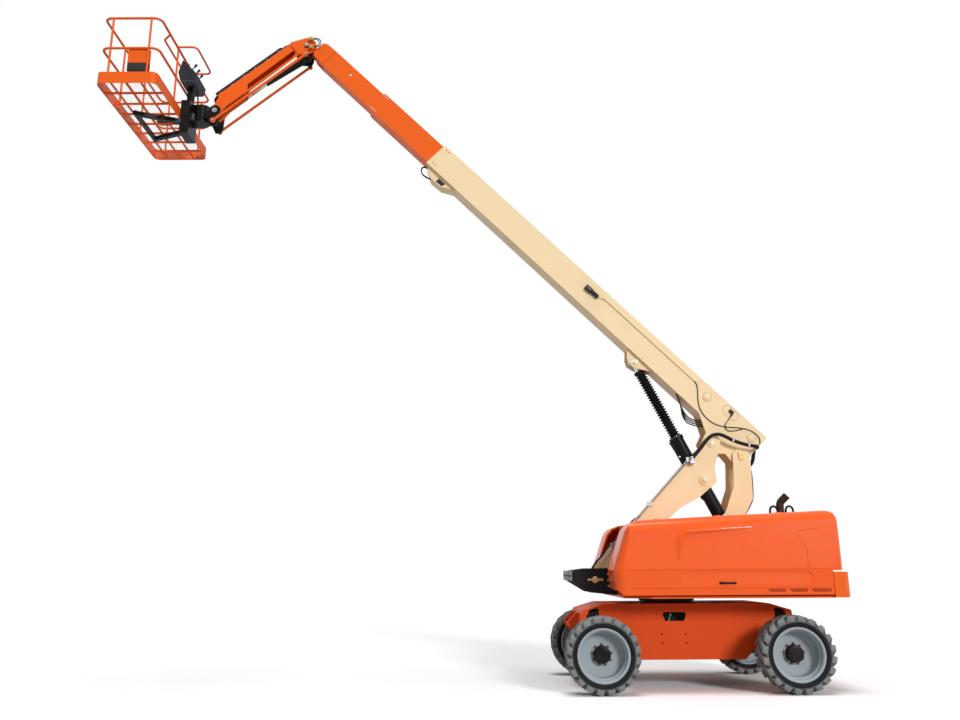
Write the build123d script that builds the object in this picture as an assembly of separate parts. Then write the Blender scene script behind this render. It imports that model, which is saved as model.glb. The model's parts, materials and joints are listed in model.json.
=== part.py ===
"""Telescopic boom lift with a jib, built as separate named solids.

Millimetres. +X points forward to the platform, +Y to the machine's left, +Z up.
Sizes below are measured from the middle of the wheelbase at ground level. The
whole machine is then moved along X so that its box is centred on the origin.
"""
import os
from math import cos, hypot, pi, radians, sin, sqrt

from build123d import *

# Overall
CENTRE_X = 3242.0

# Wheels and axles
WHEELBASE = 2480.0
TRACK_HALF = 1067.5
TYRE_R = 482.5
TYRE_W = 355.0
CARCASS_R = TYRE_R - 35.5
RIM_R = 0.7 * TYRE_R
AXLE_Z = TYRE_R
KINGPIN_Y = TRACK_HALF - 297.5
STEER_ARM = 230.0
LUG_COUNT = 16
LUG_HALF = 36.0
LUG_SLANT = 46.0
LUG_PHASE = 7.94
HUB_R = 102.0
STUD_COUNT = 9
STUD_RING = 124.0
HUB_FACE = TRACK_HALF + TYRE_W / 2 - 18 - 226 - 0.3

# Chassis
CHASSIS_W = 1100.0
CHASSIS_TOP = 1088.0
CHASSIS_BOTTOM = 365.0
CHASSIS_WALL = 20.0
BOLT_X = 190.0
BOLT_Z = 636.0
BOLT_DX = 325.0
BOLT_DZ = 115.0
BOLT_R = 13.0
SADDLE_Z = 655.0
HOSE_NOTCH = [(-45, 840), (-45, 1022), (-10, 1040), (80, 1012), (165, 840)]
TIE_DOWN = [(160, 960), (230, 960), (372, 838), (319, 745), (160, 790)]

# Turntable
SLEW_X = 150.0
SLEW_R = 380.0
DECK_Z = 1172.0
DECK_T = 28.0
TROUGH_Y = 430.0
TROUGH_T = 20.0
LID_Y = 600.0
BODY_Y = 1160.0
SHELL = 26.0
CREASE_Z = 1538.0
LEAN = 0.0623
PANEL_DEPTH = 12.0
HOOD_PANEL = [(205, 1565), (190, 1715), (120, 2010), (-834, 2075), (-1380, 2010), (-1545, 1565)]
HINGE_X = (350.0, -500.0, -1350.0)
HINGE_R = 8.0
STACK_X = -1420.0
STACK_Y = 497.0
STACK_R = 52.0

# Tower linkage pivots, as X and Z
ARM_FOOT = (1190.0, 1405.0)
ARM_HEAD = (-600.0, 3330.0)
LINK_HEAD = (-1021.0, 3120.0)
LINK_FOOT = (118.0, 1312.0)
LINK_TUBE = (-130.0, 1540.0)
TRUNNION = (-454.0, 2797.0)
LIFT_EYE = (430.0, 4585.0)

# Boom, with S along it and N across it
BOOM_RISE = 45.0
BOOM_LINE = 4550.0
BASE_S = (1400.0, 8136.0)
MID_S = (2900.0, 9510.0)
FLY_S = (4200.0, 10672.0)
BASE_HALF = (210.0, 170.0)
MID_HALF = (185.0, 145.0)
FLY_HALF = (163.5, 122.0)
BOOM_WALL = 10.0
SLIDE_GAP = 0.4
PAD = 120.0

# Lift cylinder, lengths along its axis from the trunnion
LIFT_R = 95.0
LIFT_GLAND = 735.0
LIFT_TAIL = 600.0
ROD_R = 45.0
BOOT_R = 85.0

# Jib
JIB_HEAD = (5640.0, 10050.0)
LINK_HEAD_JIB = (5640.0, 9840.0)
JIB_END = (7090.0, 8840.0)
LINK_END_JIB = (7090.0, 8630.0)
JIB_FLOOR = -35.0
JIB_TOP = 224.0
JIB_HALF = 95.0
JIB_LINK_Y = 190.0
COVER_Y = 62.0
JIB_CYL_FOOT = (5690.0, 9835.0)
JIB_CYL_EYE = (6590.0, 9215.0)

# Platform
ROTATOR_X = 7330.0
PLAT_X = (7633.0, 8543.0)
PLAT_Y = 1220.0
PLAT_Z = 8662.0
TOE_H = 190.0
FORK_SHORT = 270.0
FORK_Y = 450.0
BEAM_HALF = 10.0
RAIL_Z = 9790.0
MID_RAIL_Z = 9270.0
RAIL_R = 19.0
RAIL_IN = 25.0
POST_R = 16.0
GUARD_X = 7345.0
GUARD_Y = (-300.0, 460.0)
HAND_X = 7800.0


def plate(points, y0, y1):
    """A flat outline in X and Z, extruded along Y."""
    wire = Polyline(*[(x, y0, z) for x, z in points], close=True)
    return extrude(make_face(wire), amount=y1 - y0, dir=(0, 1, 0))


def pair(points, y0, y1):
    """The same plate on the left and on the right."""
    return plate(points, y0, y1) + plate(points, -y1, -y0)


def slab(points, z0, z1):
    """A flat outline in X and Y, extruded along Z."""
    wire = Polyline(*[(x, y, z0) for x, y in points], close=True)
    return extrude(make_face(wire), amount=z1 - z0, dir=(0, 0, 1))


def block(x0, x1, y0, y1, z0, z1):
    """A box from its limits."""
    return Pos((x0 + x1) / 2, (y0 + y1) / 2, (z0 + z1) / 2) * Box(x1 - x0, y1 - y0, z1 - z0)


def rod(p, q, r):
    """A round bar between two points."""
    p = Vector(p)
    q = Vector(q)
    return Solid.make_cylinder(r, (q - p).length, Plane(origin=p, z_dir=q - p))


def pin(at, r, y0, y1):
    """A round bar along Y at a pivot given as X and Z."""
    return rod((at[0], y0, at[1]), (at[0], y1, at[1]), r)


def pins(at, r, y0, y1):
    """The same round bar on the left and on the right."""
    return pin(at, r, y0, y1) + pin(at, r, -y1, -y0)


def tube(points, r, bend, close=False):
    """A bent round bar through the points."""
    path = FilletPolyline(*points, radius=bend, close=close)
    start = path @ 0
    section = Plane(origin=start, z_dir=path % 0) * Circle(r)
    return sweep(section, path=path)


def on_boom(s, n):
    """X and Z of a point given along and across the boom."""
    c = sqrt(0.5)
    return (c * (s - n) - BOOM_LINE / 2, c * (s + n) + BOOM_LINE / 2)


def boom_box(s0, s1, half_n, half_y):
    """A box along the boom."""
    corners = [(s0, -half_n), (s1, -half_n), (s1, half_n), (s0, half_n)]
    return plate([on_boom(s, n) for s, n in corners], -half_y, half_y)


def along(p, q, t, n):
    """A point at distance t from p towards q, then n to the left of that line."""
    length = hypot(q[0] - p[0], q[1] - p[1])
    ux = (q[0] - p[0]) / length
    uz = (q[1] - p[1]) / length
    return (p[0] + ux * t - uz * n, p[1] + uz * t + ux * n)


def arc_points(centre, r, a0, a1, count):
    """Points on an arc in X and Z, angles in degrees."""
    out = []
    for i in range(count + 1):
        a = radians(a0 + (a1 - a0) * i / count)
        out.append((centre[0] + r * cos(a), centre[1] + r * sin(a)))
    return out


def chassis_frame():
    """The welded chassis with sloped ends, open below."""
    half = CHASSIS_W / 2
    axle = WHEELBASE / 2
    front = [(axle - 110, CHASSIS_TOP), (axle + 185, 1000), (axle + 215, 800), (axle - 160, 690),
             (axle - 480, CHASSIS_BOTTOM)]
    outer = front + [(-x, z) for x, z in reversed(front)]
    front = [(axle - 115, CHASSIS_TOP - 25), (axle + 162, 982), (axle + 188, 812), (axle - 180, 705),
             (axle - 480, CHASSIS_BOTTOM + 35), (axle - 480, CHASSIS_BOTTOM - 35)]
    inner = front + [(-x, z) for x, z in reversed(front)]
    body = plate(outer, -half, half) - plate(inner, -half + CHASSIS_WALL, half - CHASSIS_WALL)
    window = [(42, 862), (298, 862), (330, 945), (312, 978), (28, 978), (10, 945)]
    body -= plate(window, -half - 5, half + 5)
    for dx in (-BOLT_DX / 2, BOLT_DX / 2):
        for dz in (-BOLT_DZ / 2, BOLT_DZ / 2):
            body -= pin((BOLT_X + dx, BOLT_Z + dz), BOLT_R, -half - 5, half + 5)
    for end in (-1, 1):
        notch = [(end * (axle + dx), z) for dx, z in HOSE_NOTCH]
        body -= pair(notch, half - CHASSIS_WALL - 1, half + 5)
        lug = [(end * (axle + dx), z) for dx, z in TIE_DOWN]
        for y in (-250, 250):
            body += plate(lug, y - 15, y + 15)
            body -= pin((end * (axle + 295), 835), 32, y - 20, y + 20)
        body += block(end * axle - 110, end * axle + 110, -260, 260, SADDLE_Z, 800)
    return body


def slew_ring():
    """The bearing between chassis and turntable."""
    ring = rod((SLEW_X, 0, CHASSIS_TOP), (SLEW_X, 0, DECK_Z - 0.3), SLEW_R)
    bore = rod((SLEW_X, 0, CHASSIS_TOP - 5), (SLEW_X, 0, DECK_Z + 5), SLEW_R - 90)
    return ring - bore


def axle_front():
    """The fixed drive axle with a gear hub at each end."""
    x = WHEELBASE / 2
    end = KINGPIN_Y - 10
    body = block(x - 95, x + 95, -end, end, AXLE_Z - 85, AXLE_Z + 85)
    body += block(x - 100, x + 100, -240, 240, AXLE_Z + 80, SADDLE_Z)
    for side in (-1, 1):
        body += rod((x, side * (end - 60), AXLE_Z), (x, side * HUB_FACE, AXLE_Z), 120)
        body += rod((x, side * (end - 120), AXLE_Z), (x, side * (end - 40), AXLE_Z), 165)
    return body


def axle_rear():
    """The steer axle with a fork for each kingpin."""
    x = -WHEELBASE / 2
    end = KINGPIN_Y - 150
    body = block(x - 95, x + 95, -end, end, AXLE_Z - 85, AXLE_Z + 85)
    body += block(x - 100, x + 100, -240, 240, AXLE_Z + 80, SADDLE_Z)
    for side in (-1, 1):
        for z in (AXLE_Z - 145, AXLE_Z + 105):
            body += rod((x, side * KINGPIN_Y, z), (x, side * KINGPIN_Y, z + 40), 75)
            y0, y1 = sorted((side * (end - 60), side * KINGPIN_Y))
            body += block(x - 75, x + 75, y0, y1, z, z + 40)
        y0, y1 = sorted((side * (end - 60), side * end))
        body += block(x - 75, x + 75, y0, y1, AXLE_Z - 145, AXLE_Z + 145)
        body -= rod((x, side * KINGPIN_Y, AXLE_Z - 200), (x, side * KINGPIN_Y, AXLE_Z + 200), 26.05)
    return body


def steer_pin(side):
    """The pin between a steering arm and the tie rod."""
    return (-WHEELBASE / 2 + STEER_ARM, side * KINGPIN_Y, AXLE_Z - 75)


def knuckle(side):
    """A steered gear hub on its kingpin, with its steering arm."""
    x = -WHEELBASE / 2
    body = rod((x, side * KINGPIN_Y, AXLE_Z - 104), (x, side * KINGPIN_Y, AXLE_Z + 104), 78)
    body += rod((x, side * KINGPIN_Y, AXLE_Z - 165), (x, side * KINGPIN_Y, AXLE_Z + 165), 26)
    body += rod((x, side * KINGPIN_Y, AXLE_Z), (x, side * HUB_FACE, AXLE_Z), 100)
    body += rod((x, side * (KINGPIN_Y + 110), AXLE_Z), (x, side * HUB_FACE, AXLE_Z), 120)
    px, py, pz = steer_pin(side)
    arm = [(x, side * (KINGPIN_Y - 40)), (px + 20, py - side * 35), (px + 30, py + side * 30),
           (x, side * (KINGPIN_Y + 50))]
    body += slab(arm, pz - 14, pz + 14)
    body += rod((px, py, pz - 14), (px, py, pz + 14), 38)
    body -= rod((px, py, pz - 40), (px, py, pz + 40), 16.05)
    return body


def tie_rod():
    """The rod that joins both steering arms."""
    px, py, pz = steer_pin(1)
    z = pz + 14.5 + 20
    body = rod((px, -py, z), (px, py, z), 16)
    for side in (-1, 1):
        body += rod((px, side * py, pz + 14.5), (px, side * py, pz + 14.5 + 40), 32)
        body += rod((px, side * py, pz - 24), (px, side * py, pz + 20), 16)
    return body


def wheel_rim(x, side):
    """A deep dished rim with its disc, studs and hub cap, on an axis along Y."""
    y = side * TRACK_HALF
    half = TYRE_W / 2 - 18
    seat = RIM_R - 12
    outline = [(RIM_R - 20, -half), (RIM_R, -half), (RIM_R, -half + 14), (seat, -half + 20), (seat, half - 20),
               (RIM_R, half - 14), (RIM_R, half), (RIM_R - 20, half), (RIM_R - 34, half - 10), (RIM_R - 42, half - 55),
               (RIM_R - 58, half - 70), (RIM_R - 66, half - 190), (RIM_R - 88, half - 205), (112, half - 212),
               (112, half - 226), (RIM_R - 60, half - 222), (RIM_R - 24, half - 212)]
    wire = Polyline(*[(r, side * w, 0) for r, w in outline], close=True)
    body = Pos(x, y, AXLE_Z) * revolve(make_face(wire), axis=Axis.Y, revolution_arc=360)
    disc = half - 226
    body += rod((x, y + side * disc, AXLE_Z), (x, y + side * (disc + 24), AXLE_Z), 135)
    body += rod((x, y + side * (disc + 14), AXLE_Z), (x, y + side * (disc + 96), AXLE_Z), HUB_R)
    for i in range(STUD_COUNT):
        a = radians(360 * i / STUD_COUNT + 10)
        sx = x + STUD_RING * cos(a)
        sz = AXLE_Z + STUD_RING * sin(a)
        body += rod((sx, y + side * (disc + 10), sz), (sx, y + side * (disc + 38), sz), 12)
    return body


def ring_outline(r, w, count):
    """A regular outline around the Y axis at w, with its flats at radius r."""
    corner = r / cos(pi / count)
    points = []
    for i in range(count):
        a = 2 * pi * (i + 0.5) / count
        points.append((corner * cos(a), w, corner * sin(a)))
    return make_face(Polyline(*points, close=True))


def lug_outline(x, half, low, high, w):
    """A lug's section at w, x along the tread from its middle."""
    top = half - 7
    return make_face(Polyline((x - half, w, low), (x + half, w, low), (x + top, w, high), (x - top, w, high), close=True))


def tyre():
    """A tyre with two rows of slanted lugs, on the Y axis."""
    half = TYRE_W / 2
    wall = CARCASS_R - 52
    bead = RIM_R - 12
    outside = [(CARCASS_R, -half + 8), (CARCASS_R, half - 8)]
    inside = [(RIM_R + 16, -half + 2), (RIM_R + 0.5, -half + 32.3), (bead, -half + 38.5), (bead, half - 38.5),
              (RIM_R + 0.5, half - 32.3), (RIM_R + 16, half - 2)]
    body = loft([ring_outline(r, w, 2 * LUG_COUNT) for r, w in outside], ruled=True)
    body -= loft([ring_outline(r, w, 2 * LUG_COUNT) for r, w in inside], ruled=True)
    top = sqrt(TYRE_R ** 2 - (LUG_SLANT + LUG_HALF - 7) ** 2)
    lugs = []
    for row in (-1, 1):
        inner = lug_outline(-LUG_SLANT, LUG_HALF, CARCASS_R - 25, top, -6 * row)
        outer = lug_outline(LUG_SLANT, LUG_HALF, wall + 6, top, half * row)
        lug = loft([inner, outer], ruled=True)
        for i in range(LUG_COUNT):
            lugs.append(Rot(0, 360 * (i + row / 4) / LUG_COUNT + LUG_PHASE, 0) * lug)
    return body.fuse(*lugs)


HOOD_SIDE = [(940, 1215), (1030, 1300), (1056, 1538), (1010, 1720), (950, 1856), (875, 2049), (800, 2140),
             (683, 2184), (-1770, 2300), (-1860, 2290), (-1910, 2255), (-1938, 2151), (-1974, 1521), (-1800, 1521),
             (-1795, 1215)]


def strip_top(x):
    """Height of the fixed top strip at x."""
    return 2180 + (683 - x) * 115 / 2443


def hinge_point(x, side):
    """A point on the hinge line of a hood."""
    return (x, side * (LID_Y - 4), 2184 + (683 - x) * 116 / 2453 + 12)


def turntable_frame():
    """The deck, the two walls of the boom trough and the fixed top strips."""
    deck = slab([(-1810, -1100), (560, -1100), (900, -900), (900, 900), (560, 1100), (-1810, 1100)],
                DECK_Z, DECK_Z + DECK_T)
    deck -= block(-1670, -900, -140, 140, DECK_Z - 5, DECK_Z + DECK_T + 5)
    wall = [(900, DECK_Z + DECK_T), (900, 1800), (683, 2100), (-1740, 2215), (-1740, DECK_Z + DECK_T)]
    deck += pair(wall, TROUGH_Y, TROUGH_Y + TROUGH_T)
    strip = [(683, 2100), (683, 2180), (-1760, 2295), (-1760, 2215)]
    deck += pair(strip, TROUGH_Y, LID_Y - 8)
    ear = arc_points(LINK_FOOT, 105, 0, 180, 8) + [(LINK_FOOT[0] - 130, DECK_Z + DECK_T),
                                                   (LINK_FOOT[0] + 130, DECK_Z + DECK_T)]
    deck += pair(ear, 120, 150)
    deck += pins(LINK_FOOT, 60, 150, 172)
    for side in (-1, 1):
        for x in HINGE_X:
            deck += rod(hinge_point(x - 70, side), hinge_point(x + 70, side), HINGE_R)
            for x0, x1 in ((x - 70, x - 42), (x + 42, x + 70)):
                top = strip_top(x)
                y0, y1 = sorted((side * (LID_Y - 40), side * (LID_Y - 9)))
                deck += block(x0, x1, y0, y1, top - 20, top + 22)
    return deck


def front_bracket():
    """The ears for the arm's foot pin and the bumper in front of them."""
    x, z = ARM_FOOT
    ear = [(820, DECK_Z + DECK_T), (943, DECK_Z + DECK_T), (1282, 1234), (1549, 1394), (1545, 1526), (1300, 1560),
           (996, 1560), (820, 1500)]
    body = pair(ear, 262, 292)
    body += block(1500, 1547, -600, 600, 1394, 1526)
    body -= pin(ARM_FOOT, 45.05, -310, 310)
    return body


def counterweight():
    """The cast block across the tail."""
    plan = [(-1810, -1150), (-1810, 1150), (-1960, 1150), (-2020, 1090), (-2063, 950), (-2063, -950), (-2020, -1090),
            (-1960, -1150)]
    body = slab(plan, 1177, 1500)
    body += block(-1960, -1810, -560, 560, 1500, 1760)
    return body


def engine_block():
    """The engine as one plain block."""
    return block(-1450, -350, 520, 1000, DECK_Z + DECK_T, 1950)


def exhaust_stack():
    """The exhaust pipe on the fixed strip, with a bent tip."""
    foot = [(-1500, strip_top(-1500)), (-1340, strip_top(-1340)), (-1340, strip_top(-1340) + 14),
            (-1500, strip_top(-1500) + 14)]
    body = plate(foot, 470, 560)
    body += tube([(STACK_X, STACK_Y, 2290), (STACK_X, STACK_Y, 2440), (STACK_X - 95, STACK_Y + 45, 2540)], STACK_R, 90)
    tip = Vector(-95, 45, 100).normalized()
    mouth = Vector(STACK_X - 95, STACK_Y + 45, 2540)
    body -= rod(tuple(mouth - tip * 70), tuple(mouth + tip * 20), STACK_R - 6)
    return body


def hood_form(outline, y_in, inset):
    """A cover's block: its side outline, cut by a leaning side, a rounded top edge and rounded ends."""
    y_out = BODY_Y - inset
    form = plate(outline, y_in, y_out)
    wedge = Polyline((-2500, y_out, CREASE_Z), (-2500, y_out + 60, CREASE_Z), (-2500, y_out + 60, 2500),
                     (-2500, y_out - 60, 2500), close=True)
    form -= extrude(make_face(wedge), amount=4500, dir=(1, 0, 0))
    top = hinge_point(1200, 1)[2] - 12 - inset
    ridge = [(y_in - 50, top), (y_out - 200, top), (y_out - 34, top - 12), (y_out - 20, top - 200),
             (y_out + 60, top - 600), (y_out + 60, 0), (y_in - 50, 0)]
    lines = Polyline(*[(1200, y, z) for y, z in ridge[3:] + ridge[:2]])
    bend = Spline((1200, y_out - 200, top), (1200, y_out - 92, top - 42), (1200, y_out - 20, top - 200),
                  tangents=((0, 1, 0), (0, 0.09, -1)))
    form &= extrude(make_face([lines, bend]), amount=3600, dir=Vector(-1, 0, 116 / 2453).normalized())
    nose = [(1056 - inset, -400), (1056 - inset, y_out), (-3000, y_out), (-3000, -400)]
    plan = make_face(FilletPolyline(*[(x, y, CREASE_Z) for x, y in nose], radius=150, close=True))
    lean = Vector(875 - 1056, 0, 2049 - CREASE_Z)
    form &= extrude(plan, amount=1100, dir=lean.normalized()) + extrude(plan, amount=500, dir=(0, 0, -1))
    tail = [(-1974 + inset, -400), (-1974 + inset, y_out), (3000, y_out), (3000, -400)]
    plan = make_face(FilletPolyline(*[(x, y, 1000) for x, y in tail], radius=150, close=True))
    return form & extrude(plan, amount=1600, dir=(0, 0, 1))


def hood(side):
    """One body cover, hollow and open below and inside, hinged along its top inner edge."""
    shape = hood_form(HOOD_SIDE, LID_Y, 0)
    cx = -450.0
    cz = 1760.0
    kx = 1 - 2 * SHELL / 3000
    kz = 1 - 2 * SHELL / 1080
    inner = [(cx + (x - cx) * kx, cz + (z - cz) * kz if z > 1300 else z - 80) for x, z in HOOD_SIDE]
    shape -= hood_form(inner, LID_Y - 40, SHELL)
    lean = Plane(origin=(0, BODY_Y, CREASE_Z), x_dir=(1, 0, 0), z_dir=(0, cos(LEAN), sin(LEAN)))
    face = lean * make_face(FilletPolyline(*[(x, (z - CREASE_Z) / cos(LEAN)) for x, z in HOOD_PANEL], radius=60, close=True))
    shape -= extrude(face, amount=-PANEL_DEPTH) + extrude(face, amount=40)
    for x in HINGE_X:
        shape += rod(hinge_point(x - 40, 1), hinge_point(x + 40, 1), 14)
        shape -= rod(hinge_point(x - 80, 1), hinge_point(x + 80, 1), HINGE_R + 0.05)
    if side < 0:
        shape = mirror(shape, about=Plane.XZ)
    return shape


def tower_arm():
    """The front arm, two plates with a cross tube, that lifts the boom's heel."""
    x, z = ARM_FOOT
    outline = [(1270, 1455), (510, 2254), (-307, 3124), (-495, 3299), (-610, 3440), (-690, 3425), (-735, 3370),
               (-617, 2977), (-630, 2760), (-538, 2689), (-369, 2547), (-72, 2392), (150, 2200), (1060, 1345),
               (1150, 1310), (1240, 1325), (1290, 1390)]
    body = pair(outline, 216, 240)
    body += pins(ARM_FOOT, 45, 200, 305)
    body += rod((700, -216, 1940), (700, 216, 1940), 60)
    body += rod((x, -216, z), (x, 216, z), 70)
    body += pins(TRUNNION, 78, 240, 258)
    body += pins(TRUNNION, 40, 258, 276)
    body += pins(ARM_HEAD, 70, 240, 252)
    body += pins(ARM_HEAD, 42, 146, 260)
    return body


def tower_link():
    """The rear link, two plates, from the boom's tail to the turntable."""
    head = arc_points(LINK_HEAD, 128, 20, 180, 8)
    outline = head + [(-1154, 2990), (-1147, 2527), (-1037, 2329), (-560, 1760), (20, 1235), (118, 1210),
                      (215, 1260), (215, 1370), (-350, 1960), (-736, 2331), (-880, 2700), (-898, 2990)]
    body = pair(outline, 178, 208)
    body += pins(LINK_HEAD, 45, 140, 215)
    body += pin(LINK_TUBE, 50, -178, 178)
    body += pins(LINK_FOOT, 75, 205, 211)
    return body


def section_tube(span, half, wall):
    """A hollow boom section, open at both ends."""
    outer = boom_box(span[0], span[1], half[0], half[1])
    inner = boom_box(span[0] - 10, span[1] + 10, half[0] - wall, half[1] - wall)
    return outer - inner


def wear_frame(s0, s1, outer, inner):
    """A ring of wear pads between two boom sections."""
    return boom_box(s0, s1, outer[0], outer[1]) - boom_box(s0 - 10, s1 + 10, inner[0], inner[1])


def grown(half, d):
    """Half sizes made larger by d."""
    return (half[0] + d, half[1] + d)


def boom_base():
    """The base section with its heel plates and the lugs of the lift cylinder."""
    body = section_tube(BASE_S, BASE_HALF, BOOM_WALL)
    body += wear_frame(BASE_S[1] - PAD, BASE_S[1], grown(BASE_HALF, -5), grown(MID_HALF, SLIDE_GAP))
    heel = [(1400, -203), (1400, -230), (1375, -290), (1420, -380), (1520, -420), (1680, -400), (1800, -520),
            (1930, -560), (2040, -520), (2087, -363), (2362, -207), (2362, -203)]
    body += pair([on_boom(s, n) for s, n in heel], 146, 170)
    body -= pin(ARM_HEAD, 42.05, -200, 200)
    body -= pin(LINK_HEAD, 45.05, -200, 200)
    lug = [(3250, -205), (3470, -345), (3600, -375), (3680, -330), (3790, -205)]
    body += pair([on_boom(s, n) for s, n in lug], 95, 119)
    body += pins(LIFT_EYE, 42, 119, 131)
    body -= pin(LIFT_EYE, 32.05, -122, 122)
    return body


def hose_guide():
    """The wedge box under the front of the base section."""
    outline = [(7480, -210), (7700, -330), (7920, -340), (8080, -250), (8080, -210)]
    body = plate([on_boom(s, n) for s, n in outline], -110, 110)
    inner = [(7540, -205), (7712, -316), (7912, -326), (8066, -243), (8066, -205)]
    body -= plate([on_boom(s, n) for s, n in inner], -96, 96)
    return body


def sensor_box():
    """The small box on the side of the base section."""
    outline = [(4640, -55), (4920, -55), (4920, 55), (4640, 55)]
    return plate([on_boom(s, n) for s, n in outline], 170, 235)


def boom_mid():
    """The middle section, carried on wear pads."""
    body = section_tube(MID_S, MID_HALF, BOOM_WALL)
    body += wear_frame(MID_S[0], MID_S[0] + PAD, grown(BASE_HALF, -BOOM_WALL - SLIDE_GAP), grown(MID_HALF, -5))
    body += wear_frame(MID_S[1] - PAD, MID_S[1], grown(MID_HALF, -5), grown(FLY_HALF, SLIDE_GAP))
    return body


def boom_fly():
    """The fly section with its nose and the bore of the jib pin."""
    body = section_tube(FLY_S, FLY_HALF, BOOM_WALL)
    body += wear_frame(FLY_S[0], FLY_S[0] + PAD, grown(MID_HALF, -BOOM_WALL - SLIDE_GAP), grown(FLY_HALF, -5))
    end = FLY_S[1]
    n = FLY_HALF[0]
    y = FLY_HALF[1]
    cap = [(-32, -n), (0, -n), (188, -n + 13.5), (258, -n + 53.5), (258, n - 43.5), (188, n - 5.5), (0, n), (-32, n)]
    body += pair([on_boom(end + s, n) for s, n in cap], y - 38, y)
    body += boom_box(end - 32, end + 18, n - 13.5, y - 12)
    tongue = [on_boom(end - 22, 23.5 - n), on_boom(end + 228, 13.5 - n)]
    tongue += arc_points(JIB_HEAD, 58, -70, 110, 8) + [on_boom(end - 22, 60)]
    body += plate(tongue, -40, 40)
    body -= pin(JIB_HEAD, 35.05, -60, 60)
    return body


def lift_axis(t):
    """X and Z on the lift cylinder's axis, t from the trunnion."""
    return along(TRUNNION, LIFT_EYE, t, 0)


def lift_point(t):
    """The same point with Y."""
    x, z = lift_axis(t)
    return (x, 0, z)


LIFT_LEN = hypot(LIFT_EYE[0] - TRUNNION[0], LIFT_EYE[1] - TRUNNION[1])


def lift_barrel():
    """The barrel of the lift cylinder, with its trunnion stubs."""
    body = rod(lift_point(-LIFT_TAIL), lift_point(LIFT_GLAND), LIFT_R)
    body += rod(lift_point(LIFT_GLAND - 60), lift_point(LIFT_GLAND), LIFT_R + 12)
    body -= rod(lift_point(-LIFT_TAIL + 20), lift_point(LIFT_GLAND + 10), ROD_R + 0.3)
    body += pins(TRUNNION, 50, LIFT_R - 12, 150)
    return body


def lift_rod():
    """The rod of the lift cylinder, with its eye and pin."""
    body = rod(lift_point(LIFT_GLAND - 460), lift_point(LIFT_LEN - 30), ROD_R)
    body += pin(LIFT_EYE, 56, -88, 88)
    body += pin(LIFT_EYE, 32, -119, 119)
    return body


def lift_boot():
    """The folded boot around the lift rod."""
    body = rod(lift_point(LIFT_GLAND + 4), lift_point(LIFT_LEN - 130), BOOT_R)
    body -= rod(lift_point(LIFT_GLAND - 5), lift_point(LIFT_LEN), ROD_R + 0.3)
    return body


def level_knuckle():
    """The levelled bracket at the boom's nose that carries the jib and its links."""
    x, z = JIB_HEAD
    cheek = arc_points(JIB_HEAD, 70, 0, 180, 8) + [(x - 90, z - 200), (x - 60, z - 270), (x + 110, z - 270),
                                                  (x + 110, z - 160)]
    body = pair(cheek, 46, 66)
    body += pin(JIB_HEAD, 35, -150, 150)
    body += pin(LINK_HEAD_JIB, 22, -215, -46) + pin(LINK_HEAD_JIB, 22, 46, 215)
    body += pin(JIB_CYL_FOOT, 20, -50, 50)
    return body


def jib_point(t, n):
    """X and Z at t along the jib and n above its pin line."""
    return along(JIB_HEAD, JIB_END, t, n)


JIB_LEN = hypot(JIB_END[0] - JIB_HEAD[0], JIB_END[1] - JIB_HEAD[1])


def jib_arm():
    """The jib, a channel open below, with plates for both pins."""
    outer = [(60, JIB_FLOOR), (60, 140), (165, JIB_TOP), (1690, JIB_TOP), (1690, JIB_FLOOR)]
    inner = [(40, JIB_FLOOR - 20), (40, 128), (172, JIB_TOP - 10), (1700, JIB_TOP - 10), (1700, JIB_FLOOR - 20)]
    slot = [(1190, 72), (1248, -8), (330, -4), (235, 20), (215, 88)]
    body = plate([jib_point(t, n) for t, n in outer], -JIB_HALF, JIB_HALF)
    body -= plate([jib_point(t, n) for t, n in inner], -JIB_HALF + 9, JIB_HALF - 9)
    body -= plate([jib_point(t, n) for t, n in slot], -JIB_HALF - 5, JIB_HALF + 5)
    head = arc_points(JIB_HEAD, 150, 60, 290, 12) + [jib_point(165, -68), jib_point(205, JIB_FLOOR),
                                                     jib_point(205, JIB_TOP - 10), jib_point(160, JIB_TOP)]
    body += pair(head, 86, 112)
    end = arc_points(JIB_END, 80, -140, 40, 8) + [jib_point(1650, JIB_TOP - 30), jib_point(1330, JIB_TOP - 60),
                                                  jib_point(1290, 60), jib_point(1320, JIB_FLOOR),
                                                  jib_point(1700, JIB_FLOOR)]
    body += pair(end, 86, 112)
    body -= pin(JIB_HEAD, 35.05, -120, 120)
    body -= pin(JIB_END, 30.05, -120, 120)
    return body


def jib_hose_cover():
    """The channel that covers the hoses on top of the jib."""
    outer = [(290, JIB_TOP), (360, JIB_TOP + 74), (1690, JIB_TOP + 74), (1690, JIB_TOP)]
    inner = [(280, JIB_TOP - 5), (352, JIB_TOP + 68), (1700, JIB_TOP + 68), (1700, JIB_TOP - 5)]
    body = plate([jib_point(t, n) for t, n in outer], -COVER_Y, COVER_Y)
    return body - plate([jib_point(t, n) for t, n in inner], -COVER_Y + 5, COVER_Y - 5)


def jib_links():
    """The two thin links below the jib."""
    body = None
    for side in (-1, 1):
        y = side * JIB_LINK_Y
        p = (LINK_HEAD_JIB[0], y, LINK_HEAD_JIB[1])
        q = (LINK_END_JIB[0], y, LINK_END_JIB[1])
        one = rod(p, q, 22)
        for at in (LINK_HEAD_JIB, LINK_END_JIB):
            one += pin(at, 40, y - 16, y + 16)
        for at in (LINK_HEAD_JIB, LINK_END_JIB):
            one -= pin(at, 22.05, y - 30, y + 30)
        body = one if body is None else body + one
    return body


JIB_CYL_LEN = hypot(JIB_CYL_EYE[0] - JIB_CYL_FOOT[0], JIB_CYL_EYE[1] - JIB_CYL_FOOT[1])


def jib_cyl_point(t):
    """A point on the jib cylinder's axis, t from its foot."""
    x, z = along(JIB_CYL_FOOT, JIB_CYL_EYE, t, 0)
    return (x, 0, z)


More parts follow.
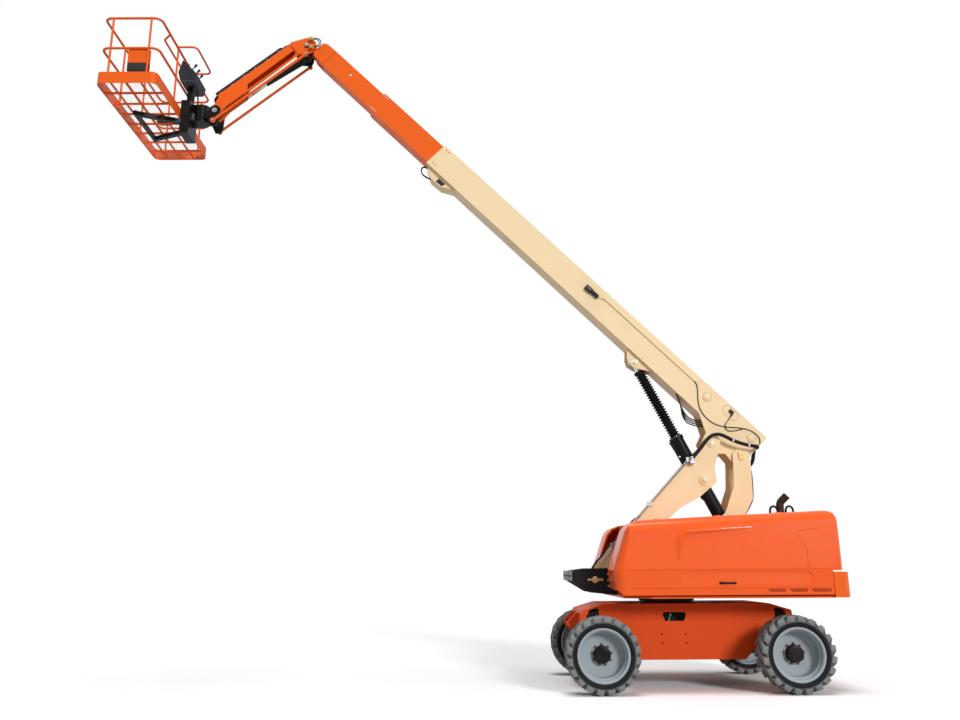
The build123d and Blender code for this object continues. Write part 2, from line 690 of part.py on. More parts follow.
def jib_barrel():
    """The barrel of the jib cylinder."""
    body = rod(jib_cyl_point(20), jib_cyl_point(760), 45)
    body += pin(JIB_CYL_FOOT, 38, -40, 40)
    body -= rod(jib_cyl_point(120), jib_cyl_point(780), 25.3)
    body -= pin(JIB_CYL_FOOT, 20.05, -60, 60)
    return body


def jib_rod():
    """The rod of the jib cylinder, with its eye."""
    body = rod(jib_cyl_point(JIB_CYL_LEN - 880), jib_cyl_point(JIB_CYL_LEN - 10), 25)
    body += pin(JIB_CYL_EYE, 36, -40, 40)
    return body


def platform_yoke():
    """The bracket at the jib's end with the rotator housing."""
    x, z = JIB_END
    cheek = arc_points(JIB_END, 95, 20, 160, 8) + [(x - 70, z - 200), (x - 40, z - 270), (x + 50, z - 270),
                                                  (x + 110, z - 140), (x + 190, z - 125)]
    body = pair(cheek, 116, 140)
    body += block(x + 120, ROTATOR_X - 60, -140, 140, z - 130, z + 60)
    body += rod((ROTATOR_X, 0, z - 150), (ROTATOR_X, 0, z + 90), 125)
    body += pin(JIB_END, 30, -150, 150)
    body += pins(LINK_END_JIB, 22, 116, 215)
    return body


def platform_support():
    """The mast on the rotator and the forks under the floor."""
    z = JIB_END[1]
    body = rod((ROTATOR_X, 0, z + 90.3), (ROTATOR_X, 0, z + 121), 120)
    body += rod((ROTATOR_X, 0, z - 181), (ROTATOR_X, 0, z - 150.3), 120)
    face = ROTATOR_X + 152
    back = PLAT_X[0] - 5
    body += block(ROTATOR_X, face + 10, -110, 110, z + 90.3, z + 121)
    body += block(ROTATOR_X, face + 10, -110, 110, z - 181, z - 150.3)
    body += block(face, back, -188, 188, PLAT_Z - 242, PLAT_Z + 338)
    body += block(face + 30, back - 38, -60, 60, PLAT_Z + 328, PLAT_Z + 668)
    tip = PLAT_X[1] - FORK_SHORT
    for side in (-1, 1):
        fork = [(back - 28, side * 110), (tip, side * (FORK_Y - 65)), (tip, side * FORK_Y), (back - 28, side * 185)]
        body += slab(fork, PLAT_Z - 70, PLAT_Z)
    body += block(tip - 50, tip, -FORK_Y, FORK_Y, PLAT_Z - 70, PLAT_Z)
    return body


def platform_floor():
    """The floor frame with its toe board."""
    x0, x1 = PLAT_X
    body = block(x0, x1, -PLAT_Y, PLAT_Y, PLAT_Z, PLAT_Z + TOE_H)
    body = fillet(body.edges().filter_by(Axis.Z), 90)
    core = block(x0 + 5, x1 - 5, -PLAT_Y + 5, PLAT_Y - 5, PLAT_Z - 5, PLAT_Z + TOE_H + 5)
    body -= fillet(core.edges().filter_by(Axis.Z), 85)
    for i in range(3):
        x = x0 + (i + 1) * (x1 - x0) / 4
        body += block(x - BEAM_HALF, x + BEAM_HALF, -PLAT_Y + 3, PLAT_Y - 3, PLAT_Z, PLAT_Z + 30)
    for i in range(7):
        y = -PLAT_Y + (i + 1) * 2 * PLAT_Y / 8
        body += block(x0 + 3, x1 - 3, y - BEAM_HALF, y + BEAM_HALF, PLAT_Z, PLAT_Z + 30)
    return body


def platform_mesh():
    """The walking surface on the floor frame."""
    x0, x1 = PLAT_X
    body = block(x0 + 6, x1 - 6, -PLAT_Y + 6, PLAT_Y - 6, PLAT_Z + 30, PLAT_Z + 34)
    return fillet(body.edges().filter_by(Axis.Z), 84)


def rail_loop(z):
    """A closed rail around the platform."""
    x0 = PLAT_X[0] + RAIL_IN
    x1 = PLAT_X[1] - RAIL_IN
    y = PLAT_Y - RAIL_IN
    return tube([(x1, -y, z), (x1, y, z), (x0, y, z), (x0, -y, z)], RAIL_R, 110, close=True)


def platform_rails():
    """The top rail with the guard hoop and the hand rail at the console, and the middle rail."""
    x0 = PLAT_X[0] + RAIL_IN
    y0, y1 = GUARD_Y
    guard = [(x0, y1, RAIL_Z), (GUARD_X, y1, RAIL_Z), (GUARD_X, y0, RAIL_Z), (x0, y0, RAIL_Z)]
    hand = [(x0, y1 + 330, RAIL_Z), (HAND_X, y1 + 190, RAIL_Z), (HAND_X, y0 - 190, RAIL_Z), (x0, y0 - 330, RAIL_Z)]
    top = rail_loop(RAIL_Z) + tube(guard, POST_R, 90) + tube(hand, POST_R, 60)
    return Compound(children=[top.solid(), rail_loop(MID_RAIL_Z)])


def rail_posts():
    """The posts in two lengths, below and above the middle rail, notched to both rails."""
    x0 = PLAT_X[0] + RAIL_IN
    x1 = PLAT_X[1] - RAIL_IN
    y = PLAT_Y - RAIL_IN
    low = PLAT_Z + 40
    out = []
    for px, py, fx, fy in ((x1 - 140, y, 0, 1), (x0 + 140, y, 0, 1), (x1 - 140, -y, 0, -1), (x0 + 140, -y, 0, -1),
                           (x1, 420, 1, 0), (x1, -420, 1, 0), (x0, 420, -1, 0), (x0, -420, -1, 0)):
        foot = RAIL_IN - 5
        ax, bx = sorted((px, px + fx * foot)) if fx else (px - 22, px + 22)
        ay, by = sorted((py, py + fy * foot)) if fy else (py - 22, py + 22)
        lower = rod((px, py, low), (px, py, MID_RAIL_Z), POST_R) + block(ax, bx, ay, by, low, low + 110)
        upper = rod((px, py, MID_RAIL_Z), (px, py, RAIL_Z), POST_R)
        for z in (MID_RAIL_Z, RAIL_Z):
            rail = rod((px - 60 * abs(fy), py - 60 * abs(fx), z), (px + 60 * abs(fy), py + 60 * abs(fx), z), RAIL_R + 0.2)
            lower -= rail
            upper -= rail
        out += [lower.solid(), upper.solid()]
    return Compound(children=out)


def control_console():
    """The control box on the rails at the mast side."""
    outline = [(7420, 9330), (7660, 9330), (7700, 9480), (7640, 9700), (7400, 9450)]
    return plate(outline, -240, 240)


def tool_box():
    """The small box on the end rail."""
    return block(7800, 8110, 1090, 1175.7, 8900, 9285)


WHEELS = [("front_left", 1, 1), ("front_right", 1, -1), ("rear_left", -1, 1), ("rear_right", -1, -1)]


def pieces():
    """Every node by name."""
    out = {
        "chassis_frame": chassis_frame(),
        "slew_ring": slew_ring(),
        "axle_front": axle_front(),
        "axle_rear": axle_rear(),
        "knuckle_left": knuckle(1),
        "knuckle_right": knuckle(-1),
        "tie_rod": tie_rod(),
        "turntable_frame": turntable_frame(),
        "front_bracket": front_bracket(),
        "counterweight": counterweight(),
        "engine_block": engine_block(),
        "exhaust_stack": exhaust_stack(),
        "hood_left": hood(1),
        "hood_right": hood(-1),
        "tower_arm": tower_arm(),
        "tower_link": tower_link(),
        "boom_base": boom_base(),
        "hose_guide": hose_guide(),
        "sensor_box": sensor_box(),
        "boom_mid": boom_mid(),
        "boom_fly": boom_fly(),
        "lift_barrel": lift_barrel(),
        "lift_rod": lift_rod(),
        "lift_boot": lift_boot(),
        "level_knuckle": level_knuckle(),
        "jib_arm": jib_arm(),
        "jib_hose_cover": jib_hose_cover(),
        "jib_links": jib_links(),
        "jib_barrel": jib_barrel(),
        "jib_rod": jib_rod(),
        "platform_yoke": platform_yoke(),
        "platform_support": platform_support(),
        "platform_floor": platform_floor(),
        "platform_mesh": platform_mesh(),
        "platform_rails": platform_rails(),
        "rail_posts": rail_posts(),
        "control_console": control_console(),
        "tool_box": tool_box(),
    }
    tread = tyre()
    treads = {1: tread, -1: mirror(tread, about=Plane.XZ)}
    for name, end, side in WHEELS:
        out[name + "_rim"] = wheel_rim(end * WHEELBASE / 2, side)
        out[name + "_tyre"] = Pos(end * WHEELBASE / 2, side * TRACK_HALF, AXLE_Z) * treads[side]
    return out


def main():
    """Writes one STEP file for each node."""
    os.makedirs("parts", exist_ok=True)
    for name, shape in pieces().items():
        export_step(Pos(-CENTRE_X, 0, 0) * shape, "parts/" + name + ".step")


if __name__ == "__main__":
    main()
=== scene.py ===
import json
from math import cos, pi, radians, sin

import bmesh
import bpy
from mathutils import Matrix, Vector


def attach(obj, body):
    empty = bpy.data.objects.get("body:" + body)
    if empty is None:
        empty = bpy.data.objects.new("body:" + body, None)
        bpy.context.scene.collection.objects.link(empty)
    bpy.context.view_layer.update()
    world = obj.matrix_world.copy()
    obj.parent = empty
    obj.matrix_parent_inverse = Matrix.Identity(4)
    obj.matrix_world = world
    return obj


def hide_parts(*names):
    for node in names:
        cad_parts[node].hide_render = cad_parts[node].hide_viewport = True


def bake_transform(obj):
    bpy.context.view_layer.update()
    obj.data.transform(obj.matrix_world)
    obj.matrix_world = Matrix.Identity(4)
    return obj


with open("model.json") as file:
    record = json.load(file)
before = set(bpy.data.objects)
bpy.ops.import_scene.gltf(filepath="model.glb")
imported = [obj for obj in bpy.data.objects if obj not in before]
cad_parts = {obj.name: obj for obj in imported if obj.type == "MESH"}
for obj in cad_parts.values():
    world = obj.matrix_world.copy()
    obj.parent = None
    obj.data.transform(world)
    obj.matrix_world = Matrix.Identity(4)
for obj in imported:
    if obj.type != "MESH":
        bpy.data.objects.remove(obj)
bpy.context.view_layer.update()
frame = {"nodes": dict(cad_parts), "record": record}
NODES = frame["nodes"]

# The model's middle along X, measured from the middle of the wheelbase, in metres
CENTRE_X = 3.242
# The boom rises at 45 degrees: a point on its middle line is this much higher than it is ahead
BOOM_LINE = 4.55
ROOT_HALF = 0.5 ** 0.5


def at(x, y, z):
    """A point measured from the middle of the wheelbase, in the model's frame."""
    return Vector((x - CENTRE_X, y, z))


def on_boom(s, n, y):
    """A point given along, across and beside the boom."""
    return at(ROOT_HALF * (s - n) - BOOM_LINE / 2, y, ROOT_HALF * (s + n) + BOOM_LINE / 2)


def along_boom(points, y):
    """Points along and across the boom, all as far beside it."""
    return [on_boom(s, n, y) for s, n in points]


# Materials

def wear_group():
    """Shared effect: broad patches of dust, a varied roughness and a fine grain."""
    group = bpy.data.node_groups.new("weathering", "ShaderNodeTree")
    face = group.interface
    for socket in ("Colour", "Dust"):
        face.new_socket(socket, in_out="INPUT", socket_type="NodeSocketColor")
    for socket in ("Amount", "Scale", "Rough", "Grain"):
        face.new_socket(socket, in_out="INPUT", socket_type="NodeSocketFloat")
    face.new_socket("Colour", in_out="OUTPUT", socket_type="NodeSocketColor")
    for socket in ("Rough", "Height"):
        face.new_socket(socket, in_out="OUTPUT", socket_type="NodeSocketFloat")
    nodes = group.nodes
    links = group.links
    inp = nodes.new("NodeGroupInput")
    out = nodes.new("NodeGroupOutput")
    where = nodes.new("ShaderNodeTexCoord")
    broad = nodes.new("ShaderNodeTexNoise")
    broad.inputs["Detail"].default_value = 6
    broad.inputs["Roughness"].default_value = 0.62
    links.new(where.outputs["Object"], broad.inputs["Vector"])
    links.new(inp.outputs["Scale"], broad.inputs["Scale"])
    ramp = nodes.new("ShaderNodeMapRange")
    ramp.inputs["From Min"].default_value = 0.42
    ramp.inputs["From Max"].default_value = 0.78
    links.new(broad.outputs[0], ramp.inputs["Value"])
    strength = nodes.new("ShaderNodeMath")
    strength.operation = "MULTIPLY"
    links.new(ramp.outputs["Result"], strength.inputs[0])
    links.new(inp.outputs["Amount"], strength.inputs[1])
    mix = nodes.new("ShaderNodeMix")
    mix.data_type = "RGBA"
    links.new(strength.outputs[0], mix.inputs["Factor"])
    links.new(inp.outputs["Colour"], mix.inputs["A"])
    links.new(inp.outputs["Dust"], mix.inputs["B"])
    links.new(mix.outputs["Result"], out.inputs["Colour"])
    rough = nodes.new("ShaderNodeMath")
    rough.operation = "MULTIPLY_ADD"
    rough.inputs[1].default_value = 0.14
    links.new(ramp.outputs["Result"], rough.inputs[0])
    links.new(inp.outputs["Rough"], rough.inputs[2])
    links.new(rough.outputs[0], out.inputs["Rough"])
    grain = nodes.new("ShaderNodeTexNoise")
    grain.inputs["Detail"].default_value = 3
    links.new(where.outputs["Object"], grain.inputs["Vector"])
    links.new(inp.outputs["Grain"], grain.inputs["Scale"])
    links.new(grain.outputs[0], out.inputs["Height"])
    return group


WEATHER = wear_group()


def paint(name, colour, rough, dust=(0.45, 0.40, 0.34), amount=0.06, scale=2.2, metal=0.0,
          coat=0.0, grain=60.0, bump=0.03, shine=0.25):
    """A painted or plain surface with weathering and a fine grain."""
    mat = bpy.data.materials.new(name)
    mat.use_nodes = True
    nodes = mat.node_tree.nodes
    links = mat.node_tree.links
    shader = nodes["Principled BSDF"]
    shader.inputs["Metallic"].default_value = metal
    shader.inputs["Coat Weight"].default_value = coat
    shader.inputs["Coat Roughness"].default_value = 0.08
    shader.inputs["Specular IOR Level"].default_value = shine
    mat.diffuse_color = (*colour, 1)
    wear = nodes.new("ShaderNodeGroup")
    wear.node_tree = WEATHER
    values = {"Colour": (*colour, 1), "Dust": (*dust, 1), "Amount": amount, "Scale": scale,
              "Rough": rough, "Grain": grain}
    for socket, value in values.items():
        wear.inputs[socket].default_value = value
    links.new(wear.outputs["Colour"], shader.inputs["Base Color"])
    links.new(wear.outputs["Rough"], shader.inputs["Roughness"])
    relief = nodes.new("ShaderNodeBump")
    relief.inputs["Strength"].default_value = bump
    relief.inputs["Distance"].default_value = 0.004
    links.new(wear.outputs["Height"], relief.inputs["Height"])
    links.new(relief.outputs["Normal"], shader.inputs["Normal"])
    return mat


ORANGE = paint("orange_paint", (0.88, 0.128, 0.011), 0.38, dust=(0.50, 0.13, 0.04),
               amount=0.09, coat=0.02, shine=0.12)
# Painted shade: the chassis frame's orange, darker and redder, as the frame shows in shade under the
# turntable, with its own dust
CHASSIS_SHADE = paint("chassis_orange_shade", (0.74, 0.078, 0.011), 0.42, dust=(0.40, 0.10, 0.04),
                amount=0.12, shine=0.10)
COVER = paint("orange_cover", (0.89, 0.103, 0.007), 0.26, dust=(0.62, 0.10, 0.02),
              amount=0.07, coat=0.22, grain=25.0, shine=0.14)
# Painted shade: a dark orange for the shadow lines round the nose's weld and along the covers' crease,
# step and seams, and for the covers' lower strips
ORANGE_SHADE = paint("orange_shadow", (0.42, 0.040, 0.005), 0.5, amount=0.05, shine=0.1)
CREAM = paint("cream_paint", (0.91, 0.71, 0.43), 0.40, dust=(0.70, 0.48, 0.26),
              amount=0.10, shine=0.15)
SEAM = paint("cream_seam", (0.50, 0.34, 0.16), 0.5, amount=0.08)
BLACK = paint("black_paint", (0.008, 0.008, 0.009), 0.30, amount=0.04, bump=0.05, shine=0.09)
PLASTIC = paint("black_plastic", (0.024, 0.027, 0.032), 0.50, amount=0.06, grain=320.0,
                bump=0.10, shine=0.10)
GREY = paint("grey_plastic", (0.085, 0.092, 0.105), 0.5, amount=0.06, grain=320.0,
             bump=0.10, shine=0.15)
RUBBER = paint("boot_rubber", (0.007, 0.007, 0.008), 0.60, dust=(0.04, 0.04, 0.04),
               amount=0.25, grain=200.0, bump=0.10, shine=0.10)
HOSE = paint("hose_rubber", (0.008, 0.008, 0.009), 0.45, dust=(0.04, 0.04, 0.04),
             amount=0.20, grain=400.0, bump=0.15, shine=0.12)
SIDEWALL = paint("tyre_sidewall", (0.012, 0.012, 0.013), 0.62, dust=(0.04, 0.04, 0.038),
                 amount=0.35, scale=6.0, grain=150.0, bump=0.12, shine=0.08)
SHOULDER = paint("tyre_shoulder", (0.085, 0.090, 0.089), 0.85, dust=(0.17, 0.175, 0.17),
                 amount=0.7, scale=8.0, grain=120.0, bump=0.25, shine=0.05)
TYRE = paint("tyre_tread", (0.195, 0.205, 0.203), 0.88, dust=(0.30, 0.31, 0.305),
             amount=0.8, scale=9.0, grain=120.0, bump=0.25, shine=0.05)
RIM = paint("rim_paint", (0.33, 0.375, 0.40), 0.34, dust=(0.42, 0.40, 0.36),
            amount=0.16, scale=5.0, shine=0.3)
STEEL = paint("bare_steel", (0.34, 0.33, 0.31), 0.36, metal=1.0, amount=0.20, grain=240.0, bump=0.06)
LINE = paint("line_zinc", (0.62, 0.58, 0.52), 0.45, amount=0.15, grain=240.0)
BRASS = paint("brass_fitting", (0.44, 0.30, 0.11), 0.38, metal=0.7, amount=0.20, grain=240.0, bump=0.06)
CHROME = paint("rod_chrome", (0.55, 0.55, 0.56), 0.14, metal=1.0, amount=0.05, bump=0.01)
BROWN = paint("rusty_stud", (0.17, 0.085, 0.045), 0.6, dust=(0.30, 0.20, 0.13),
              amount=0.45, scale=30.0, bump=0.2)
EXHAUST = paint("exhaust_steel", (0.030, 0.020, 0.017), 0.5, dust=(0.10, 0.04, 0.025),
                amount=0.45, scale=14.0, bump=0.15, shine=0.12)
ENGINE = paint("engine_grey", (0.12, 0.12, 0.125), 0.5, amount=0.1)
WHITE = paint("white_plate", (0.78, 0.78, 0.76), 0.4, amount=0.06)
GALVANISED = paint("floor_zinc", (0.72, 0.70, 0.69), 0.5, amount=0.15)
RED = paint("stop_red", (0.55, 0.02, 0.015), 0.3, amount=0.04)

FINISH = {
    "orange_paint": ORANGE,
    "orange_cover": COVER,
    "orange_casting": ORANGE,
    "cream_paint": CREAM,
    "black_paint": BLACK,
    "engine_grey": ENGINE,
    "exhaust_steel": EXHAUST,
    "rod_chrome": CHROME,
    "boot_rubber": RUBBER,
    "rim_paint": RIM,
    "tyre_rubber": TYRE,
    "mesh_steel": ORANGE,
    "black_plastic": PLASTIC,
}
SLOT_OF = {part["node"]: part["material_slot"] for part in frame["record"]["subparts"]}
# The chassis frame takes the darker orange of painted shade
for node_name, node in NODES.items():
    finish = CHASSIS_SHADE if node_name == "chassis_frame" else FINISH[SLOT_OF[node_name]]
    node.data.materials.clear()
    node.data.materials.append(finish)


# Shapes

def finished(name, bm, materials, body, bevel=0.0, angle=35):
    """Turns a bmesh into a piece that moves with a body."""
    mesh = bpy.data.meshes.new(name)
    bmesh.ops.recalc_face_normals(bm, faces=bm.faces[:])
    bm.to_mesh(mesh)
    bm.free()
    for poly in mesh.polygons:
        poly.use_smooth = True
    mesh.set_sharp_from_angle(angle=radians(angle))
    obj = bpy.data.objects.new(name, mesh)
    bpy.context.collection.objects.link(obj)
    for mat in materials if isinstance(materials, (list, tuple)) else [materials]:
        mesh.materials.append(mat)
    if bevel:
        round_edges(obj, bevel)
    if body:
        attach(obj, body)
    return obj


def round_edges(obj, width, segments=2):
    """A bevel on the sharp edges."""
    mod = obj.modifiers.new("edges", "BEVEL")
    mod.width = width
    mod.segments = segments
    mod.limit_method = "ANGLE"
    mod.angle_limit = radians(38)
    mod.harden_normals = True


def mark(verts, mat):
    """Gives a material index to the faces of these corners."""
    for face in {f for v in verts for f in v.link_faces}:
        face.material_index = mat


def add_box(bm, low, high):
    """A box between two corners, in the model's frame."""
    low = Vector(low)
    high = Vector(high)
    made = bmesh.ops.create_cube(bm, size=1.0)["verts"]
    bmesh.ops.scale(bm, vec=high - low, verts=made)
    bmesh.ops.translate(bm, vec=(low + high) / 2, verts=made)


def add_rod(bm, start, end, r, sides=20, tip=None, mat=0):
    """A round bar between two points, with its own radius at the far end."""
    start = Vector(start)
    end = Vector(end)
    way = end - start
    turn = way.to_track_quat("Z", "Y").to_matrix().to_4x4()
    place = Matrix.Translation((start + end) / 2) @ turn
    far = r if tip is None else tip
    made = bmesh.ops.create_cone(bm, cap_ends=True, segments=sides, radius1=r, radius2=far,
                                 depth=way.length, matrix=place)["verts"]
    mark(made, mat)


def add_bolt(bm, spot, way, r, head, mat=0):
    """A hexagon head on a washer, standing out along way."""
    spot = Vector(spot)
    way = Vector(way).normalized()
    add_rod(bm, spot - way * 0.001, spot + way * head * 0.22, r * 1.45, 18, mat=mat)
    add_rod(bm, spot + way * head * 0.2, spot + way * head, r, 6, r * 0.94, mat=mat)


def add_plate(bm, outline, y0, y1, mat=0):
    """A flat outline in X and Z, extruded along Y."""
    corners = [bm.verts.new((p[0], y0, p[1])) for p in outline]
    face = bm.faces.new(corners)
    grown = bmesh.ops.extrude_face_region(bm, geom=[face])["geom"]
    made = [g for g in grown if isinstance(g, bmesh.types.BMVert)]
    bmesh.ops.translate(bm, vec=(0, y1 - y0, 0), verts=made)
    mark(corners + made, mat)


def xz(points):
    """Points measured from the middle of the wheelbase, as X and Z in the model's frame."""
    return [(x - CENTRE_X, z) for x, z in points]


def boom_xz(points):
    """Points along and across the boom, as X and Z in the model's frame."""
    return [(on_boom(s, n, 0).x, on_boom(s, n, 0).z) for s, n in points]


def hose(name, points, r, body, mat=None):
    """A hose on one smooth curve through its points."""
    data = bpy.data.curves.new(name, "CURVE")
    data.dimensions = "3D"
    data.bevel_depth = r
    data.bevel_resolution = 3
    data.resolution_u = 8
    data.use_fill_caps = True
    line = data.splines.new("NURBS")
    line.points.add(len(points) - 1)
    for spot, p in zip(line.points, points):
        spot.co = (*p, 1)
    line.order_u = 3
    line.use_endpoint_u = True
    data.materials.append(mat or HOSE)
    obj = bpy.data.objects.new(name, data)
    bpy.context.collection.objects.link(obj)
    if body:
        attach(obj, body)
    return obj


def spun(bm, profile, centre, steps, mat=0):
    """A profile of radius and Y, spun about an axis along Y through the centre."""
    before = set(bm.faces)
    corners = [bm.verts.new((centre[0] + r, centre[1] + y, centre[2])) for r, y in profile]
    edges = [bm.edges.new((a, b)) for a, b in zip(corners, corners[1:])]
    bmesh.ops.spin(bm, geom=corners + edges, cent=centre, axis=(0, 1, 0), angle=2 * pi,
                   steps=steps, use_merge=True)
    for face in set(bm.faces) - before:
        face.material_index = mat


def turned(bm, profile, spot, side, steps=28):
    """A turned shape that faces out to one side, from its profile of radius and height."""
    spun(bm, [(r, side * y) for r, y in profile], spot, steps)


# Wheels

WHEELBASE = 2.48
TRACK_HALF = 1.0675
AXLE_Z = 0.4825
# The hub's face, measured outward from the wheel's middle
HUB_BACK = -0.0665
STUDS = 9
STUD_CIRCLE = 0.124
WHEELS = [("front_left", 1, 1), ("front_right", 1, -1), ("rear_left", -1, 1), ("rear_right", -1, -1)]
# Half of the tyre's profile as radius and distance from its middle, and where its shoulder starts
TYRE_WALL = [(0.3262, 0.1388), (0.3385, 0.1455), (0.344, 0.160), (0.352, 0.1685), (0.366, 0.1735),
             (0.396, 0.1742), (0.415, 0.170), (0.436, 0.160), (0.446, 0.140), (0.4475, 0.06)]
SHOULDER_R = 0.396
TYRE_STEPS = 84
# The tread's lugs: half lengths, slant, radii at the outer and inner end, and reach to the side
LUGS = 20
LUG_TOP_HALF = 0.038
LUG_FOOT_HALF = 0.048
LUG_SLANT = 0.046
LUG_TOP_R = (0.4712, 0.4783)
LUG_FOOT_R = (0.404, 0.430)
LUG_TOP_Y = (0.1690, -0.004)
LUG_FOOT_Y = (0.1775, -0.004)
HUB_CAP = [(0.0, 0.108), (0.024, 0.108), (0.027, 0.104), (0.060, 0.1035), (0.092, 0.1005),
           (0.103, 0.0975), (0.107, 0.090), (0.107, 0.034), (0.113, 0.030), (0.113, 0.020)]


def tyre_lug(row, side):
    """The mesh of one slanted lug of the tread, before it is turned into its place."""
    bm = bmesh.new()
    for v in bmesh.ops.create_cube(bm, size=2.0)["verts"]:
        end = 0 if v.co.y > 0 else 1
        top = v.co.z > 0
        half = LUG_TOP_HALF if top else LUG_FOOT_HALF
        v.co.x = v.co.x * half + (-LUG_SLANT if end else LUG_SLANT)
        v.co.z = (LUG_TOP_R if top else LUG_FOOT_R)[end]
        v.co.y = (LUG_TOP_Y if top else LUG_FOOT_Y)[end] * row * side
    bmesh.ops.recalc_face_normals(bm, faces=bm.faces[:])
    bmesh.ops.bevel(bm, geom=bm.edges[:], offset=0.006, segments=2, affect="EDGES",
                    profile=0.5, material=-1)
    mesh = bpy.data.meshes.new("lug")
    bm.to_mesh(mesh)
    bm.free()
    return mesh


def tyre(name, centre, side):
    """The moulded tyre of one wheel, with both rows of lugs."""
    bm = bmesh.new()
    wall = [p for p in TYRE_WALL if p[0] <= SHOULDER_R]
    crown = [p for p in TYRE_WALL if p[0] >= SHOULDER_R]
    spun(bm, [(r, -y) for r, y in reversed(wall)] + wall, (0, 0, 0), TYRE_STEPS, 0)
    spun(bm, crown + [(r, -y) for r, y in reversed(crown)], (0, 0, 0), TYRE_STEPS, 2)
    bmesh.ops.remove_doubles(bm, verts=bm.verts[:], dist=1e-5)
    for row in (-1, 1):
        lug = tyre_lug(row, side)
        for i in range(LUGS):
            lug_turn = Matrix.Rotation(2 * pi * (i + row / 4) / LUGS, 4, "Y")
            before = len(bm.faces)
            lug.transform(lug_turn)
            bm.from_mesh(lug)
            lug.transform(lug_turn.inverted())
            bm.faces.ensure_lookup_table()
            for face in bm.faces[before:]:
                face.material_index = 1
        bpy.data.meshes.remove(lug)
    bmesh.ops.translate(bm, vec=centre, verts=bm.verts[:])
    tread = finished(name + "_tread", bm, [SIDEWALL, TYRE, SHOULDER], name + "_wheel", angle=50)
    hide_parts(name + "_tyre")


def hub(name, centre, side):
    """The hub cap and the studs of one wheel."""
    bm = bmesh.new()
    turned(bm, [(r, HUB_BACK + y) for r, y in HUB_CAP], centre, side, 40)
    bmesh.ops.remove_doubles(bm, verts=bm.verts[:], dist=1e-5)
    finished(name + "_hub_cap", bm, BLACK, name + "_wheel")
    bm = bmesh.new()
    for i in range(STUDS):
        turn = 2 * pi * i / STUDS + radians(10)
        out = side * (HUB_BACK + 0.024)
        spot = centre + Vector((STUD_CIRCLE * cos(turn), out, STUD_CIRCLE * sin(turn)))
        add_bolt(bm, spot, (0, side, 0), 0.0125, 0.030)
    finished(name + "_studs", bm, BROWN, name + "_wheel")


for wheel_name, wheel_end, wheel_side in WHEELS:
    wheel_centre = at(wheel_end * WHEELBASE / 2, wheel_side * TRACK_HALF, AXLE_Z)
    tyre(wheel_name, wheel_centre, wheel_side)
    hub(wheel_name, wheel_centre, wheel_side)


# Lift cylinder boot

TRUNNION = at(-0.454, 0, 2.797)
LIFT_EYE = at(0.430, 0, 4.585)
LIFT_WAY = (LIFT_EYE - TRUNNION).normalized()
LIFT_LEN = (LIFT_EYE - TRUNNION).length
# The boot's ends, measured from the trunnion and back from the eye, and its folds
BOOT_FOOT = 0.741
BOOT_BACK = 0.135
BOOT_CUFF = 0.025
BOOT_FOLDS = 25


def lift_boot():
    """The folded rubber boot between the gland and the rod's eye."""
    start = TRUNNION + LIFT_WAY * BOOT_FOOT
    length = LIFT_LEN - BOOT_BACK - BOOT_FOOT
    step = (length - 2 * BOOT_CUFF) / BOOT_FOLDS
    bm = bmesh.new()
    turn = LIFT_WAY.to_track_quat("Z", "Y").to_matrix().to_4x4()
    place = Matrix.Translation(start) @ turn
    profile = [(0.047, 0.0), (0.082, 0.0), (0.084, 0.02)]
    for i in range(BOOT_FOLDS):
        z = BOOT_CUFF + step * i
        profile += [(0.057, z), (0.058, z + step * 0.18)]
        profile += [(0.0848, z + step * 0.52), (0.0848, z + step * 0.62)]
    profile += [(0.082, length - 0.02), (0.082, length), (0.047, length)]
    corners = [bm.verts.new((r, 0, z)) for r, z in profile]
    edges = [bm.edges.new((a, b)) for a, b in zip(corners, corners[1:])]
    bmesh.ops.spin(bm, geom=corners + edges, cent=(0, 0, 0), axis=(0, 0, 1), angle=2 * pi,
                   steps=36, use_merge=True)
    bmesh.ops.remove_doubles(bm, verts=bm.verts[:], dist=1e-6)
    bmesh.ops.transform(bm, matrix=place, verts=bm.verts[:])
    boot = finished("lift_boot_folds", bm, RUBBER, None, angle=28)
    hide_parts("lift_boot")
    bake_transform(boot)


lift_boot()


# Boom

# Distances of the base section's side, weld rings, lap seams and cables from the boom's middle
BOOM_SIDE = 0.170
WELD_Y = 0.1705
SEAM_Y = 0.1728
CABLE_Y = 0.178


def boom_welds():
    """Bosses, weld rings and lap plates on both sides of the base section."""
    bm = bmesh.new()
    for side in (-1, 1):
        for s, n, r in ((2.427, 0.054, 0.064), (1.561, 0.044, 0.064)):
            profile = [(0.0, 0.003), (r - 0.006, 0.003), (r - 0.002, 0.0)]
            turned(bm, profile, on_boom(s, n, side * BOOM_SIDE), side, 40)
    finished("boom_weld_bosses", bm, CREAM, "boom_base", angle=60)
    rings = [(2.427, 0.054, 0.066, 0.0, "front"), (1.561, 0.044, 0.066, 0.0, "rear"),
             (2.024, 0.115, 0.074, 0.060, "middle")]
    for side, tag in ((1, "left"), (-1, "right")):
        for s, n, r, half, part in rings:
            ring = []
            for i in range(25):
                turn = 2 * pi * i / 24
                shift = half if cos(turn) >= 0 else -half
                ring.append((s + shift + r * cos(turn), n + r * sin(turn)))
            run = along_boom(ring, side * WELD_Y)
            hose(f"boom_weld_{part}_{tag}", run, 0.0028, "boom_base", SEAM)
    bm = bmesh.new()
    lap = boom_xz([(2.70, 0.106), (3.7, 0.106), (4.60, 0.106), (4.68, 0.196), (2.62, 0.196)])
    for side in (-1, 1):
        add_plate(bm, lap, side * 0.1695, side * 0.1735)
    finished("boom_lap_plates", bm, CREAM, "boom_base", 0.001)
    for side, tag in ((1, "left"), (-1, "right")):
        run = along_boom([(4.60, 0.104), (3.6, 0.104), (2.70, 0.104)], side * SEAM_Y)
        hose(f"boom_lap_seam_{tag}", run, 0.0030, "boom_base", SEAM)


